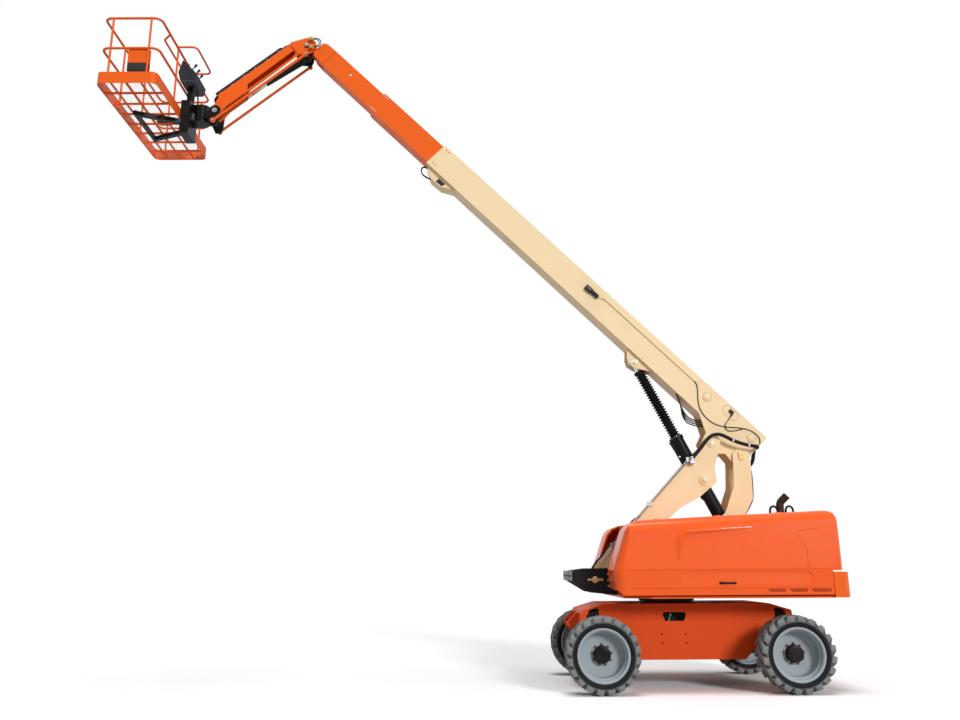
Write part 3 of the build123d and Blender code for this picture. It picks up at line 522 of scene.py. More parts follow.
def boom_cables():
    """The connector, the cables and the hoses at the boom's heel."""
    bm = bmesh.new()
    plug = boom_xz([(1.985, 0.11), (1.985, 0.158), (2.062, 0.158), (2.062, 0.11)])
    add_plate(bm, plug, BOOM_SIDE, 0.192)
    add_rod(bm, on_boom(2.0, 0.135, 0.19), on_boom(1.985, 0.08, 0.19), 0.012, 12)
    finished("boom_connector", bm, PLASTIC, "boom_base", 0.004)
    run = [(2.72, 0.101), (2.684, 0.098), (2.62, 0.06), (2.56, -0.01), (2.42, -0.15),
           (2.26, -0.197), (2.10, -0.19), (1.951, -0.111), (1.86, -0.03), (1.773, 0.044),
           (1.66, 0.115), (1.567, 0.14), (1.45, 0.13), (1.41, 0.06)]
    hose("boom_conduit", along_boom(run, CABLE_Y), 0.0065, "boom_base")
    run = [(1.995, 0.12), (1.977, 0.05), (1.971, -0.07), (1.93, -0.115), (1.871, -0.118),
           (1.80, -0.05), (1.722, 0.085)]
    hose("connector_cable", along_boom(run, CABLE_Y + 0.006), 0.0055, "boom_base")
    for i in range(4):
        back = 0.03 * i
        drop = 0.012 * i
        run = [(2.80 - back, -0.205), (2.69 - back, -0.25), (2.60 - back, -0.31 - drop),
               (2.47 - back, -0.355 - drop), (2.36 - back, -0.345), (2.27 - back, -0.28),
               (2.22 - back, -0.215)]
        hose(f"belly_hose_{i + 1}", along_boom(run, 0.10 - 0.05 * i), 0.009, "boom_base")
    run = [(1.410, 0.02), (1.335, -0.09), (1.285, -0.17), (1.275, -0.27), (1.335, -0.34),
           (1.435, -0.33)]
    for i in range(3):
        hose(f"tail_hose_{i + 1}", along_boom(run, 0.06 - 0.06 * i), 0.010, "boom_base")


def collar_dress():
    """The collar's bolts, the hose guide's plates and hoses, and the conduit below the lap plate."""
    bm = bmesh.new()
    for s, n in ((8.055, 0.165), (8.000, 0.165), (8.065, -0.135), (8.010, -0.135)):
        for side in (-1, 1):
            add_bolt(bm, on_boom(s, n, side * BOOM_SIDE), (0, side, 0), 0.0085, 0.008)
    finished("collar_bolts", bm, SEAM, "boom_base")
    bm = bmesh.new()
    plate = boom_xz([(7.67, -0.250), (7.815, -0.250), (7.815, -0.322), (7.69, -0.312)])
    for side in (-1, 1):
        add_plate(bm, plate, side * 0.109, side * 0.114)
    finished("guide_rollers", bm, PLASTIC, "boom_base", 0.002)
    run = [(7.89, -0.325), (7.98, -0.366), (8.07, -0.374), (8.138, -0.340), (8.158, -0.290),
           (8.138, -0.250), (8.070, -0.238)]
    for y, tag in ((0.078, "outer"), (0.058, "inner")):
        hose(f"guide_hose_{tag}", along_boom(run, y), 0.009, "boom_base")
    run = [(4.66, 0.050), (4.60, 0.062), (4.55, 0.096), (4.45, 0.099), (3.6, 0.099), (2.72, 0.099)]
    hose("boom_conduit_upper", along_boom(run, 0.175), 0.0045, "boom_base", SEAM)


def eye_pins():
    """The ends of the pin in the lift cylinder's eye, with their keepers."""
    profile = [(0.0, 0.008), (0.018, 0.008), (0.02, 0.004), (0.032, 0.004), (0.032, 0.0)]
    keeper = boom_xz([(3.575, -0.262), (3.605, -0.262), (3.605, -0.345), (3.575, -0.345)])
    bm = bmesh.new()
    for side in (-1, 1):
        turned(bm, profile, LIFT_EYE + Vector((0, side * 0.131, 0)), side)
        add_plate(bm, keeper, side * 0.1305, side * 0.139)
        add_bolt(bm, on_boom(3.59, -0.272, side * 0.139), (0, side, 0), 0.009, 0.010)
    finished("lift_eye_pin_ends", bm, STEEL, "boom_base", 0.002)


def sensor():
    """The sensor's case on the boom's left side, with its lid and screws."""
    bm = bmesh.new()
    for s0, s1, n0, n1, y0, y1, mat in ((4.640, 4.890, 0.024, 0.074, BOOM_SIDE, 0.218, 0),
                                        (4.775, 4.895, 0.014, 0.080, BOOM_SIDE, 0.226, 0),
                                        (4.785, 4.885, 0.024, 0.070, 0.226, 0.232, 1)):
        add_plate(bm, boom_xz([(s0, n0), (s1, n0), (s1, n1), (s0, n1)]), y0, y1, mat)
    for s in (4.655, 4.760):
        add_bolt(bm, on_boom(s, 0.049, 0.218), (0, 1, 0), 0.006, 0.004, 1)
    case = finished("sensor_case", bm, [BLACK, GREY], "boom_base", 0.003)
    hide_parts("sensor_box")


boom_welds()
boom_cables()
collar_dress()
eye_pins()
sensor()


# How far along the boom the weld of its nose is
NOSE_S = 10.665


def nose_dress():
    """The weld round the nose, the bolts of the mid section's pads and a plug in the fly's side."""
    # The weld round the nose is drawn as thin tubes in the dark orange of painted shade
    for side, tag in ((1, "left"), (-1, "right")):
        run = [on_boom(NOSE_S, n, side * 0.1225) for n in (-0.160, -0.05, 0.05, 0.160)]
        hose(f"nose_weld_{tag}", run, 0.0032, "boom_fly", ORANGE_SHADE)
    run = [on_boom(NOSE_S, 0.164, y) for y in (-0.120, -0.04, 0.04, 0.120)]
    hose("nose_weld_top", run, 0.0032, "boom_fly", ORANGE_SHADE)
    bm = bmesh.new()
    for side in (-1, 1):
        for n in (-0.150, 0.150):
            for s in (9.405, 9.445, 9.485):
                add_bolt(bm, on_boom(s, n, side * 0.145), (0, side, 0), 0.0085, 0.007)
    finished("mid_pad_bolts", bm, LINE, "boom_mid")
    bm = bmesh.new()
    turned(bm, [(0.0, 0.004), (0.015, 0.004), (0.019, 0.0)], on_boom(10.17, 0.026, 0.122), 1, 24)
    finished("fly_plug", bm, WHITE, "boom_fly")


nose_dress()


# Distance of the heel's hose bundle from the boom's middle
BUNDLE_Y = 0.300


def heel_hoses():
    """The thick hose bundle over the heel, curving from the arm to the boom."""
    run = [(1.993, -0.83), (1.996, -0.72), (2.005, -0.60), (2.021, -0.47), (2.01, -0.36),
           (1.95, -0.285), (1.86, -0.245), (1.743, -0.215), (1.57, -0.13), (1.46, -0.05),
           (1.42, -0.02)]
    way = along_boom(run, BUNDLE_Y) + [on_boom(1.405, -0.01, 0.17)]
    curve = hose("heel_bundle_line", way, 0.026, None)
    shaped = curve.evaluated_get(bpy.context.evaluated_depsgraph_get())
    mesh = bpy.data.meshes.new_from_object(shaped)
    bpy.data.objects.remove(curve)
    bundle = bpy.data.objects.new("heel_bundle", mesh)
    bpy.context.collection.objects.link(bundle)
    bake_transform(bundle)
    bm = bmesh.new()
    for s, n, slope in ((1.74, -0.213, 0.52), (1.53, -0.104, 0.72)):
        spot = on_boom(s, n, BUNDLE_Y)
        step = (on_boom(s - 0.01, n + 0.01 * slope, BUNDLE_Y) - spot) * 0.9
        add_rod(bm, spot - step, spot + step, 0.0275, 20)
    finished("bundle_ties", bm, WHITE, "boom_base")
    bm = bmesh.new()
    foot = way[0]
    add_rod(bm, foot + Vector((0.0, 0.0, 0.03)), foot - Vector((0.004, 0, 0.04)), 0.028, 6)
    add_box(bm, foot + Vector((-0.035, -0.062, -0.075)), foot + Vector((0.035, 0.026, -0.03)))
    finished("bundle_foot", bm, STEEL, "tower_arm", 0.003)


heel_hoses()


# Tower

def tower_lines():
    """Steel hose lines with their clamps on the arm, and the cables along the arm and the link."""
    lines = [(-0.274, 3.094, 0.252), (0.511, 2.268, 0.252), (0.931, 1.824, 0.252),
             (1.04, 1.69, 0.252), (1.085, 1.638, 0.252), (1.105, 1.614, 0.240),
             (1.108, 1.610, 0.222)]
    for i in range(2):
        shift = 0.028 * i
        run = [at(x + shift * 0.7, y, z + shift * 0.68) for x, z, y in lines]
        hose(f"arm_line_{i + 1}", run, 0.007, "tower_arm", LINE)
    slack = [(0.51, 2.285), (0.61, 2.22), (0.71, 2.10), (0.79, 2.04), (0.89, 1.91), (0.97, 1.855),
             (1.06, 1.73), (1.14, 1.665), (1.21, 1.565), (1.24, 1.495), (1.215, 1.445)]
    for i in range(2):
        y = 0.19 - 0.06 * i
        top = 0.36 + 0.06 * i
        run = [at(top - 0.065, 0.224, 2.62 - top), at(top - 0.06, 0.200, 2.62 - top),
               at(top, y + 0.005, 2.64 - top)]
        run += [at(x, y, z) for x, z in slack]
        hose(f"arm_cable_{i + 1}", run, 0.010, "tower_arm")
    run = [(-1.09, 3.02), (-1.15, 2.97), (-1.163, 2.85), (-1.158, 2.62), (-1.152, 2.52),
           (-1.105, 2.43), (-1.04, 2.322), (-0.90, 2.16), (-0.56, 1.752), (-0.27, 1.492),
           (0.02, 1.226), (0.09, 1.235)]
    hose("link_cable", [at(x, 0.19, z) for x, z in run], 0.009, "tower_link")
    bm = bmesh.new()
    for x, z in ((-0.25, 3.075), (0.35, 2.443), (0.90, 1.862)):
        spot = at(x, 0.24, z)
        add_box(bm, spot + Vector((-0.02, 0, -0.02)), spot + Vector((0.045, 0.026, 0.045)))
        add_bolt(bm, spot + Vector((0.012, 0.026, 0.012)), (0, 1, 0), 0.007, 0.007)
    finished("arm_line_clamps", bm, STEEL, "tower_arm", 0.003)


def tower_pins():
    """The ends of the pins at the heads of the arm and the link."""
    bm = bmesh.new()
    for side in (-1, 1):
        for x, z, y, r in ((-0.454, 2.797, 0.276, 0.026), (-0.600, 3.330, 0.260, 0.028)):
            profile = [(0.0, 0.010), (r * 0.55, 0.010), (r * 0.6, 0.006), (r, 0.006), (r, 0.0)]
            turned(bm, profile, at(x, side * y, z), side)
    finished("arm_pin_ends", bm, STEEL, "tower_arm")
    profile = [(0.0, 0.008), (0.03, 0.008), (0.034, 0.004), (0.043, 0.004), (0.043, 0.0)]
    keeper = xz([(-1.06, 3.165), (-0.985, 3.205), (-0.965, 3.165), (-1.04, 3.125)])
    bm = bmesh.new()
    for side in (-1, 1):
        turned(bm, profile, at(-1.021, side * 0.215, 3.120), side)
        add_plate(bm, keeper, side * 0.212, side * 0.222)
        for x, z in ((-1.035, 3.152), (-0.99, 3.177)):
            add_bolt(bm, at(x, side * 0.222, z), (0, side, 0), 0.009, 0.010)
    finished("link_pin_ends", bm, BRASS, "tower_link", 0.002)


tower_lines()
tower_pins()


# Turntable

def bracket_dress():
    """The foot pin's head with its keeper, and the bolts of the front bracket."""
    profile = [(0.0, 0.012), (0.03, 0.012), (0.036, 0.004), (0.044, 0.004), (0.044, 0.0)]
    bar = xz([(1.08, 1.392), (1.30, 1.392), (1.30, 1.418), (1.08, 1.418)])
    bm = bmesh.new()
    for side in (-1, 1):
        turned(bm, profile, at(1.190, side * 0.305, 1.405), side, 30)
        add_plate(bm, bar, side * 0.306, side * 0.314)
        for x in (1.10, 1.28):
            add_bolt(bm, at(x, side * 0.314, 1.405), (0, side, 0), 0.011, 0.012)
        for z in (1.32, 1.40, 1.48):
            add_bolt(bm, at(1.005, side * 0.292, z), (0, side, 0), 0.011, 0.010)
    finished("bracket_pin_ends", bm, BRASS, "turntable", 0.002)
    bm = bmesh.new()
    for y in (-0.45, -0.15, 0.15, 0.45):
        add_bolt(bm, at(1.547, y, 1.46), (1, 0, 0), 0.012, 0.012)
    finished("bumper_bolts", bm, BLACK, "turntable")


bracket_dress()


# The cover's side: its reach, the height of its crease, the lean above it, and the height of the lower
# step
HOOD_Y = 1.160
CREASE_Z = 1.538
HOOD_LEAN = 0.0624
LOW_Z = 1.302
# Lines of painted shade along a cover's crease, its lower step and its tail panel's seams, as X and Z
SHADE_LINES = {
    "crease": [(0.90, 1.539), (0.40, 1.539), (-0.4, 1.539), (-1.2, 1.539), (-1.46, 1.539)],
    "low": [(0.86, LOW_Z), (0.40, LOW_Z), (-0.4, LOW_Z), (-1.2, LOW_Z), (-1.79, LOW_Z)],
    "tail": [(-1.476, 1.555), (-1.49, 1.62), (-1.495, 1.80), (-1.38, 2.00), (-1.405, 2.035),
             (-1.66, 2.06)],
    "tail_low": [(-1.476, 1.555), (-1.53, 1.545), (-1.63, 1.545), (-1.79, 1.545)],
}
# Sections of the raised panel edge: X and Z, the way out from the corner in X and Z, and the height
PANEL_EDGE = [(0.190, 1.66, 1.0, 0.10, 0.0), (0.172, 1.75, 1.0, 0.12, 0.012),
              (0.152, 1.85, 1.0, 0.14, 0.021), (0.130, 1.94, 0.96, 0.26, 0.026),
              (0.108, 1.985, 0.80, 0.60, 0.028), (0.070, 2.010, 0.45, 0.90, 0.028),
              (0.020, 2.019, 0.10, 1.0, 0.026), (-0.25, 2.036, 0.0, 1.0, 0.021),
              (-0.55, 2.055, 0.0, 1.0, 0.012), (-0.80, 2.072, 0.0, 1.0, 0.0)]
PANEL_FULL = 0.026


def hood_side_y(z):
    """How far out the cover's side is at a height."""
    return HOOD_Y - max(0.0, z - CREASE_Z) * HOOD_LEAN


def hood_dress(side):
    """Latch, lower strips in painted shade, and lines of painted shade along the crease, the lower step
    and the panel seams of one cover.
    """
    name = "hood_left" if side > 0 else "hood_right"
    bm = bmesh.new()
    for x in (-0.322, -0.500):
        foot = at(x, side * (HOOD_Y - 0.002), 1.367)
        add_rod(bm, foot, at(x, side * (HOOD_Y + 0.014), 1.367), 0.019, 20, 0.016)
    bar_y = side * (HOOD_Y + 0.015)
    add_rod(bm, at(-0.318, bar_y, 1.368), at(-0.525, bar_y, 1.366), 0.014, 16, 0.010)
    finished(name + "_latch", bm, BLACK, name, 0.003)
    # The lower strips are recessed, and coloured in the dark orange of painted shade
    bm = bmesh.new()
    for x0, x1 in ((-0.93, -1.17), (-1.21, -1.45), (-1.49, -1.76)):
        strip = [(x0, 1.292), (x0 - 0.035, 1.252), (x1 + 0.01, 1.252), (x1, 1.292)]
        add_plate(bm, xz(strip), side * (HOOD_Y - 0.002), side * (HOOD_Y + 0.001))
    finished(name + "_strips", bm, ORANGE_SHADE, name)
    # Thin tubes in the dark orange of painted shade, along the crease, the lower step and the tail
    # panel's seams
    for tag, run in SHADE_LINES.items():
        spots = [at(x, side * (hood_side_y(z) - 0.0004), z) for x, z in run]
        hose(f"{name}_seam_{tag}", spots, 0.0022, name, ORANGE_SHADE)
    panel_edge(name, side)


def panel_section(side, x, z, out_x, out_z, rise):
    """Points across the raised panel edge, from the inside of its corner to the outside."""
    out = Vector((out_x, 0, out_z)).normalized()
    fade = min(1.0, 0.2 + rise / PANEL_FULL)
    spots = []
    for away, lift in ((-0.030 * fade, -0.002), (-0.004, rise * 0.88), (0.004, rise),
                       (0.026, rise * 0.78), (0.090 * fade, -0.002)):
        p = Vector((x, 0, z)) + out * away
        spots.append(at(p.x, side * (hood_side_y(p.z) + lift), p.z))
    return spots


def panel_edge(name, side):
    """The raised edge round the upper front corner of the panel, fading out at both ends."""
    sections = [panel_section(side, *section) for section in PANEL_EDGE]
    bm = bmesh.new()
    row = [bm.verts.new(p) for p in sections[0]]
    edges = [bm.edges.new(pair) for pair in zip(row, row[1:])]
    for spots in sections[1:]:
        grown = bmesh.ops.extrude_edge_only(bm, edges=edges)["geom"]
        fresh = {g for g in grown if isinstance(g, bmesh.types.BMVert)}
        ahead = []
        for v, p in zip(row, spots):
            step = next(e.other_vert(v) for e in v.link_edges if e.other_vert(v) in fresh)
            step.co = p
            ahead.append(step)
        row = ahead
        grown_edges = [g for g in grown if isinstance(g, bmesh.types.BMEdge)]
        edges = [e for e in grown_edges if fresh.issuperset(e.verts)]
    ridge = finished(name + "_panel_edge", bm, COVER, name, angle=60)
    # An open strip has no inside, so its faces are made to look away from the machine
    if sum(p.normal.y * p.area for p in ridge.data.polygons) * side < 0:
        ridge.data.flip_normals()


for hood_side in (-1, 1):
    hood_dress(hood_side)


def stack_dress():
    """The two hoops beside the exhaust pipe."""
    for x, tag in ((-1.315, "front"), (-1.535, "rear")):
        run = []
        for i in range(13):
            turn = pi * i / 12
            run.append(at(x + 0.052 * cos(turn), 0.53, 2.325 + 0.066 * sin(turn)))
        run = [at(x + 0.054, 0.53, 2.268)] + run + [at(x - 0.054, 0.53, 2.268)]
        hose(f"stack_hoop_{tag}", run, 0.015, "turntable", BLACK)


stack_dress()


# Chassis

# The slew ring's middle along X, its radius and its bolts
RING_X = 0.150
RING_R = 0.3801
RING_BOLTS = 30


def chassis_dress():
    """Hoses at both ends, the valve block behind the windows and the slew ring's bolts."""
    for end, end_tag in ((-1, "rear"), (1, "front")):
        for side, side_tag in ((-1, "right"), (1, "left")):
            for i in range(3):
                x = end * (1.215 + 0.045 * i)
                run = [(-0.08, 0.42, 1.00), (-0.03, 0.49, 1.005), (0.0, 0.545, 0.985 - 0.01 * i),
                       (0.035, 0.575, 0.925), (0.05, 0.57, 0.84), (0.03, 0.53, 0.76),
                       (0.0, 0.47, 0.70), (-0.02, 0.42, 0.63)]
                spots = [at(x + end * ahead, side * y, z) for ahead, y, z in run]
                name = f"axle_hose_{end_tag}_{side_tag}_{i + 1}"
                hose(name, spots, 0.014, "chassis")
    bm = bmesh.new()
    add_box(bm, at(-0.06, -0.36, 0.815), at(0.40, 0.36, 1.035))
    for side in (-1, 1):
        for i in range(4):
            add_bolt(bm, at(0.05 + 0.08 * i, side * 0.36, 0.965), (0, side, 0), 0.020, 0.05)
    finished("valve_block", bm, PLASTIC, "chassis", 0.004)
    bm = bmesh.new()
    for side in (-1, 1):
        add_rod(bm, at(0.235, side * 0.50, 0.88), at(0.215, side * 0.525, 0.945), 0.008, 12)
        add_rod(bm, at(0.217, side * 0.522, 0.938), at(0.213, side * 0.527, 0.955), 0.014, 14)
        add_rod(bm, at(0.235, side * 0.36, 0.875), at(0.235, side * 0.505, 0.878), 0.010, 12)
    finished("valve_levers", bm, STEEL, "chassis")
    bm = bmesh.new()
    for i in range(RING_BOLTS):
        turn = 2 * pi * (i + 0.5) / RING_BOLTS
        spot = at(RING_X + RING_R * cos(turn), RING_R * sin(turn), 1.13)
        add_bolt(bm, spot, (cos(turn), sin(turn), 0), 0.010, 0.008)
    finished("slew_ring_bolts", bm, BLACK, "chassis")


chassis_dress()


# Lift cylinder lines

def barrel_dress():
    """Two hard lines along the lift barrel, with their clamps."""
    across = Vector((LIFT_WAY.z, 0, -LIFT_WAY.x))
    run = [(-0.26, 0.085), (-0.25, 0.102), (-0.1, 0.104), (0.3, 0.104), (0.66, 0.104), (0.70, 0.12)]
    for i, y in enumerate((-0.03, 0.03)):
        spots = [TRUNNION + LIFT_WAY * t + across * r + Vector((0, y, 0)) for t, r in run]
        hose(f"barrel_line_{i + 1}", spots, 0.0085, "lift_barrel", BLACK)
    bm = bmesh.new()
    for t in (0.12, 0.45):
        spot = TRUNNION + LIFT_WAY * t + across * 0.102
        add_rod(bm, spot - Vector((0, 0.055, 0)), spot + Vector((0, 0.055, 0)), 0.012, 8)
    finished("barrel_line_clamps", bm, STEEL, "lift_barrel")


barrel_dress()


# Jib

JIB_HEAD = (5.640, 10.050)
JIB_END = (7.090, 8.840)
JIB_LEN = ((JIB_END[0] - JIB_HEAD[0]) ** 2 + (JIB_END[1] - JIB_HEAD[1]) ** 2) ** 0.5


def on_jib(t, n, y):
    """A point along, above and beside the jib's pin line."""
    ux = (JIB_END[0] - JIB_HEAD[0]) / JIB_LEN
    uz = (JIB_END[1] - JIB_HEAD[1]) / JIB_LEN
    return at(JIB_HEAD[0] + ux * t - uz * n, y, JIB_HEAD[1] + uz * t + ux * n)


def pin_end(bm, spot, side, r):
    """The turned end of a pin, facing out."""
    profile = [(0.0, 0.009), (r * 0.5, 0.009), (r * 0.56, 0.004), (r * 0.96, 0.004), (r, 0.0),
               (r, -0.003)]
    turned(bm, profile, spot, side)


def by_head(x, z, y):
    """A point measured from the jib's head pin."""
    return at(JIB_HEAD[0] + x, y, JIB_HEAD[1] + z)


# Distance of the head's hose blocks from the jib's middle
BLOCK_Y = 0.168


def head_blocks():
    """The hose blocks on both cheeks of the jib's head, with fittings and short hoses between them."""
    bm = bmesh.new()
    for side in (-1, 1):
        y = side * BLOCK_Y
        for x0, x1, z0, z1 in ((-0.095, -0.030, 0.070, 0.116), (-0.090, -0.045, -0.082, -0.034)):
            block = [by_head(x, z, 0) for x, z in ((x0, z0), (x1, z0), (x1, z1), (x0, z1))]
            add_plate(bm, [(p.x, p.z) for p in block], side * 0.149, side * 0.185)
        for x, z in ((-0.094, 0.104), (-0.094, 0.082), (-0.089, -0.048), (-0.089, -0.069)):
            add_rod(bm, by_head(x, z, y), by_head(x - 0.018, z, y), 0.0125, 6)
            add_rod(bm, by_head(x - 0.017, z, y), by_head(x - 0.036, z, y), 0.0105, 16)
        add_rod(bm, by_head(-0.062, 0.115, y), by_head(-0.062, 0.136, y), 0.013, 6)
    finished("head_hose_blocks", bm, BRASS, "level_knuckle", 0.002)
    inner = [(-0.118, 0.082), (-0.160, 0.081), (-0.196, 0.062), (-0.212, 0.018), (-0.196, -0.028),
             (-0.160, -0.047), (-0.114, -0.048)]
    outer = [(-0.118, 0.104), (-0.172, 0.103), (-0.220, 0.076), (-0.242, 0.018), (-0.220, -0.042),
             (-0.172, -0.068), (-0.114, -0.069)]
    for side, tag in ((1, "left"), (-1, "right")):
        for run, part in ((inner, "inner"), (outer, "outer")):
            spots = [by_head(x, z, side * BLOCK_Y) for x, z in run]
            hose(f"head_hose_{part}_{tag}", spots, 0.008, "level_knuckle")


head_blocks()


def jib_dress():
    """Pin ends, hoses at both ends of the jib and the bolts of the hose cover."""
    bm = bmesh.new()
    for side in (-1, 1):
        pin_end(bm, at(JIB_HEAD[0], side * 0.150, JIB_HEAD[1]), side, 0.035)
        pin_end(bm, at(JIB_HEAD[0], side * 0.215, JIB_HEAD[1] - 0.21), side, 0.022)
    finished("jib_head_pin_ends", bm, STEEL, "level_knuckle")
    bm = bmesh.new()
    for side in (-1, 1):
        pin_end(bm, at(JIB_END[0], side * 0.150, JIB_END[1]), side, 0.044)
        pin_end(bm, at(JIB_END[0], side * 0.215, JIB_END[1] - 0.21), side, 0.022)
    finished("jib_end_pin_ends", bm, STEEL, "platform_yoke")
    bm = bmesh.new()
    for i in range(6):
        for side in (-1, 1):
            add_bolt(bm, on_jib(0.42 + 0.24 * i, 0.252, side * 0.062), (0, side, 0), 0.008, 0.007)
    finished("cover_bolts", bm, STEEL, "jib")
    for i in range(4):
        y = -0.045 + 0.03 * i
        run = [(0.42, 0.255), (0.33, 0.27), (0.24, 0.262), (0.16, 0.225), (0.10, 0.16),
               (0.085, 0.10), (0.12, 0.05)]
        hose(f"jib_head_hose_{i + 1}", [on_jib(t, n, y) for t, n in run], 0.011, "jib")
    for i in range(3):
        y = -0.03 + 0.03 * i
        run = [(1.62, 0.258), (1.70, 0.258), (1.76, 0.235), (1.785, 0.19), (1.76, 0.14),
               (1.68, 0.12)]
        hose(f"jib_end_hose_{i + 1}", [on_jib(t, n, y) for t, n in run], 0.011, "jib")


jib_dress()


# Platform

ROTATOR = at(7.330, 0, 8.840)
PLAT_X = (7.633, 8.543)
PLAT_Y = 1.220
PLAT_Z = 8.662
# The floor's lattice: gap to the frame, cells along and across, and corner radius
FLOOR_GAP = 0.010
FLOOR_CELLS = (16, 34)
FLOOR_CORNER = 0.085


def rotator_dress():
    """Bolts around the rotator's flange and the hoses beside it."""
    bm = bmesh.new()
    for i in range(12):
        turn = 2 * pi * (i + 0.5) / 12
        spot = ROTATOR + Vector((0.098 * cos(turn), 0.098 * sin(turn), 0.121))
        add_bolt(bm, spot, (0, 0, 1), 0.010, 0.012)
    finished("rotator_bolts", bm, STEEL, "platform")
    bm = bmesh.new()
    for z in (-0.10, 0.035):
        for i in range(10):
            turn = pi / 2 + pi * (i + 0.5) / 10
            spot = ROTATOR + Vector((0.1245 * cos(turn), 0.1245 * sin(turn), z))
            add_bolt(bm, spot, (cos(turn), sin(turn), 0), 0.008, 0.007)
    finished("housing_bolts", bm, BLACK, "platform_yoke")
    for i, y in enumerate((0.09, 0.12, -0.10)):
        run = [at(7.50, y, 9.03), at(7.47, y, 9.05), at(7.455, y + 0.01, 9.12),
               at(7.465, y + 0.015, 9.22), at(7.49, y, 9.30), at(7.52, y, 9.345)]
        hose(f"mast_hose_{i + 1}", run, 0.012, "platform")


def round_corner(v, half_x, half_y, r):
    """Draws a corner that lies outside a rounded rectangle in to its edge."""
    past = Vector((max(abs(v.co.x) - half_x + r, 0), max(abs(v.co.y) - half_y + r, 0)))
    if past.x and past.y and past.length > r:
        past *= r / past.length
        v.co.x = (half_x - r + past.x) * (1 if v.co.x > 0 else -1)
        v.co.y = (half_y - r + past.y) * (1 if v.co.y > 0 else -1)


def floor_mesh():
    """The expanded steel floor, a lattice of diamonds."""
    bm = bmesh.new()
    long = PLAT_X[1] - PLAT_X[0] - 2 * FLOOR_GAP
    wide = 2 * (PLAT_Y - FLOOR_GAP)
    bmesh.ops.create_grid(bm, x_segments=FLOOR_CELLS[0], y_segments=FLOOR_CELLS[1], size=0.5)
    inner = [e for e in bm.edges if not e.is_boundary]
    bmesh.ops.poke(bm, faces=bm.faces[:])
    bmesh.ops.dissolve_edges(bm, edges=[e for e in inner if e.is_valid], use_verts=False)
    bmesh.ops.scale(bm, vec=(long, wide, 1), verts=bm.verts[:])
    for v in bm.verts:
        round_corner(v, long / 2, wide / 2, FLOOR_CORNER)
    bmesh.ops.wireframe(bm, faces=bm.faces[:], thickness=0.0026, offset=0.0, use_replace=True,
                        use_boundary=True, use_even_offset=True)
    middle = at((PLAT_X[0] + PLAT_X[1]) / 2, 0, PLAT_Z + 0.032)
    bmesh.ops.translate(bm, vec=middle, verts=bm.verts[:])
    lattice = finished("floor_lattice", bm, GALVANISED, "platform")
    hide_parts("platform_mesh")


def console_dress():
    """The console's sloping face with its levers, knobs and buttons."""
    foot = Vector((7.400, 0, 9.450))
    head = Vector((7.640, 0, 9.700))
    up = (head - foot).normalized()
    out = Vector((-up.z, 0, up.x))

    def on_face(u, y, h):
        """A point up, across and out of the console's face."""
        p = foot + up * u + out * h
        return at(p.x, y, p.z)

    turn = out.to_track_quat("Z", "Y").to_matrix().to_4x4()
    bm = bmesh.new()
    made = bmesh.ops.create_cube(bm, size=1.0)["verts"]
    bmesh.ops.scale(bm, vec=(0.46, 0.325, 0.006), verts=made)
    bmesh.ops.transform(bm, matrix=Matrix.Translation(on_face(0.173, 0, 0.003)) @ turn, verts=made)
    finished("console_face", bm, GREY, "platform", 0.002)
    bm = bmesh.new()
    for y in (-0.15, 0.0, 0.15):
        add_rod(bm, on_face(0.17, y, 0.004), on_face(0.17, y, 0.020), 0.034, 20, 0.020)
        add_rod(bm, on_face(0.17, y, 0.018), on_face(0.18, y, 0.085), 0.009, 14)
        add_rod(bm, on_face(0.178, y, 0.070), on_face(0.188, y, 0.125), 0.015, 16, 0.021)
    finished("console_levers", bm, PLASTIC, "platform", 0.002)
    bm = bmesh.new()
    for i in range(7):
        spot = on_face(0.085, -0.18 + 0.06 * i, 0.004)
        add_rod(bm, spot, spot + out * 0.016, 0.011, 16, 0.009)
    finished("console_switches", bm, WHITE, "platform", 0.0015)
    bm = bmesh.new()
    spot = on_face(0.26, 0.18, 0.004)
    add_rod(bm, spot, spot + out * 0.018, 0.014, 18)
    add_rod(bm, spot + out * 0.016, spot + out * 0.032, 0.024, 22, 0.021)
    finished("console_stop", bm, RED, "platform", 0.002)
    bm = bmesh.new()
    add_box(bm, at(7.425, -0.236, 9.313), at(7.655, 0.236, 9.333))
    finished("console_tray", bm, GREY, "platform", 0.004)
    for i in range(4):
        y = -0.12 + 0.07 * i
        run = [at(7.56, y, 9.335), at(7.555, y, 9.30), at(7.55, y * 0.8, 9.24), at(7.548, y * 0.5, 9.14),
               at(7.55, y * 0.4, 8.99)]
        hose(f"console_cable_{i + 1}", run, 0.010, "platform")


def box_dress():
    """The tool box's lid, and the foot switch on the floor."""
    bm = bmesh.new()
    add_box(bm, at(7.797, 1.087, 9.030), at(8.113, 1.1790, 9.288))
    finished("tool_box_lid", bm, ORANGE, "platform", 0.010)
    bm = bmesh.new()
    add_box(bm, at(7.86, -0.10, PLAT_Z + 0.036), at(8.06, 0.06, PLAT_Z + 0.052))
    pedal = [(7.88, PLAT_Z + 0.05), (8.04, PLAT_Z + 0.05), (8.04, PLAT_Z + 0.066),
             (7.88, PLAT_Z + 0.105)]
    add_plate(bm, xz(pedal), -0.07, 0.03)
    finished("foot_switch", bm, PLASTIC, "platform", 0.004)


rotator_dress()
floor_mesh()
console_dress()
box_dress()


# Floor, light and camera

# Suns as name, the way to the sun, strength and angle in degrees
SUNS = [("top_sun", (0.02, 0.10, 1.0), 1.50, 24), ("front_sun", (-0.42, 0.84, 0.36), 2.0, 14)]
# The camera as fitted to the photograph: place, the way it looks, its right and its top, and its lens
CAMERA_SPOT = at(2.8340006, 12.38567343, 1.57199663)
CAMERA_FORWARD = Vector((-0.00380629, -0.97035142, 0.24166844))
CAMERA_RIGHT = Vector((-0.99998211, 0.00257835, -0.00539713))
CAMERA_UP = Vector((-0.00461401, 0.24168466, 0.97034387))
CAMERA_LENS = 31.328


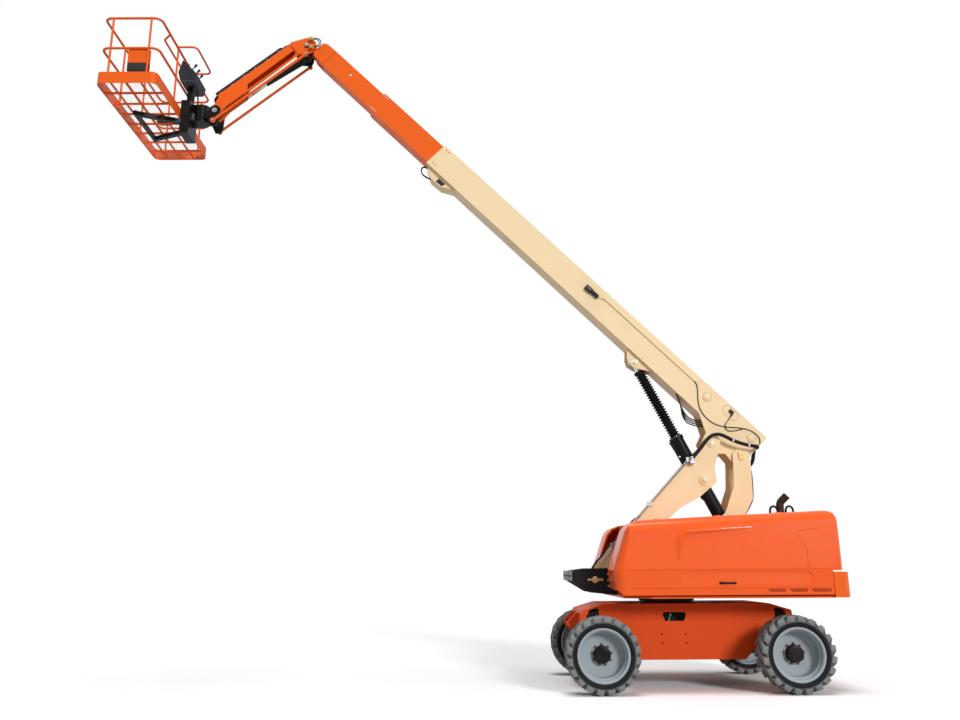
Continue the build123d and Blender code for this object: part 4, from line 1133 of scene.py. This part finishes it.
def floor_finish():
    """White where the camera or a reflection sees it, and a duller floor where it lights the machine."""
    mat = bpy.data.materials.new("floor_white")
    mat.use_nodes = True
    nodes = mat.node_tree.nodes
    links = mat.node_tree.links
    nodes.remove(nodes["Principled BSDF"])
    seen = nodes.new("ShaderNodeBsdfDiffuse")
    seen.inputs["Color"].default_value = (1, 1, 1, 1)
    bounce = nodes.new("ShaderNodeBsdfDiffuse")
    bounce.inputs["Color"].default_value = (0.42, 0.42, 0.42, 1)
    pick = nodes.new("ShaderNodeMixShader")
    links.new(background_ray(mat.node_tree), pick.inputs["Fac"])
    links.new(bounce.outputs["BSDF"], pick.inputs[1])
    links.new(seen.outputs["BSDF"], pick.inputs[2])
    links.new(pick.outputs["Shader"], nodes["Material Output"].inputs["Surface"])
    return mat


def background_ray(tree):
    """One where the camera, a mirror or glass looks at the background."""
    ray = tree.nodes.new("ShaderNodeLightPath")
    mirror = tree.nodes.new("ShaderNodeMath")
    mirror.operation = "MAXIMUM"
    tree.links.new(ray.outputs["Is Camera Ray"], mirror.inputs[0])
    tree.links.new(ray.outputs["Is Glossy Ray"], mirror.inputs[1])
    glass = tree.nodes.new("ShaderNodeMath")
    glass.operation = "MAXIMUM"
    tree.links.new(mirror.outputs[0], glass.inputs[0])
    tree.links.new(ray.outputs["Is Transmission Ray"], glass.inputs[1])
    return glass.outputs[0]


def studio():
    """A white floor under a white sky, soft light and the photograph's camera."""
    bpy.ops.mesh.primitive_plane_add(size=400, location=(0, 0, 0))
    floor = bpy.context.object
    floor.name = "studio_floor"
    floor.data.materials.append(floor_finish())
    world = bpy.data.worlds.new("studio")
    world.use_nodes = True
    nodes = world.node_tree.nodes
    links = world.node_tree.links
    soft = nodes["Background"]
    soft.inputs["Color"].default_value = (0.97, 0.98, 1.0, 1)
    soft.inputs["Strength"].default_value = 0.36
    white = nodes.new("ShaderNodeBackground")
    white.inputs["Color"].default_value = (1, 1, 1, 1)
    pick = nodes.new("ShaderNodeMixShader")
    links.new(background_ray(world.node_tree), pick.inputs["Fac"])
    links.new(soft.outputs["Background"], pick.inputs[1])
    links.new(white.outputs["Background"], pick.inputs[2])
    links.new(pick.outputs["Shader"], nodes["World Output"].inputs["Surface"])
    bpy.context.scene.world = world
    for name, way, energy, angle in SUNS:
        sun = bpy.data.lights.new(name, "SUN")
        sun.energy = energy
        sun.angle = radians(angle)
        lamp = bpy.data.objects.new(name, sun)
        lamp.matrix_world = Vector(way).to_track_quat("Z", "Y").to_matrix().to_4x4()
        bpy.context.collection.objects.link(lamp)
    cam = bpy.data.cameras.new("photo_camera")
    cam.lens = CAMERA_LENS
    cam.sensor_width = 36
    cam.sensor_fit = "HORIZONTAL"
    cam.clip_end = 500
    eye = bpy.data.objects.new("photo_camera", cam)
    turn = Matrix((CAMERA_RIGHT, CAMERA_UP, -CAMERA_FORWARD)).transposed().to_4x4()
    eye.matrix_world = Matrix.Translation(CAMERA_SPOT) @ turn
    bpy.context.collection.objects.link(eye)
    bpy.context.scene.camera = eye
    bpy.context.scene.view_settings.view_transform = "Standard"


studio()
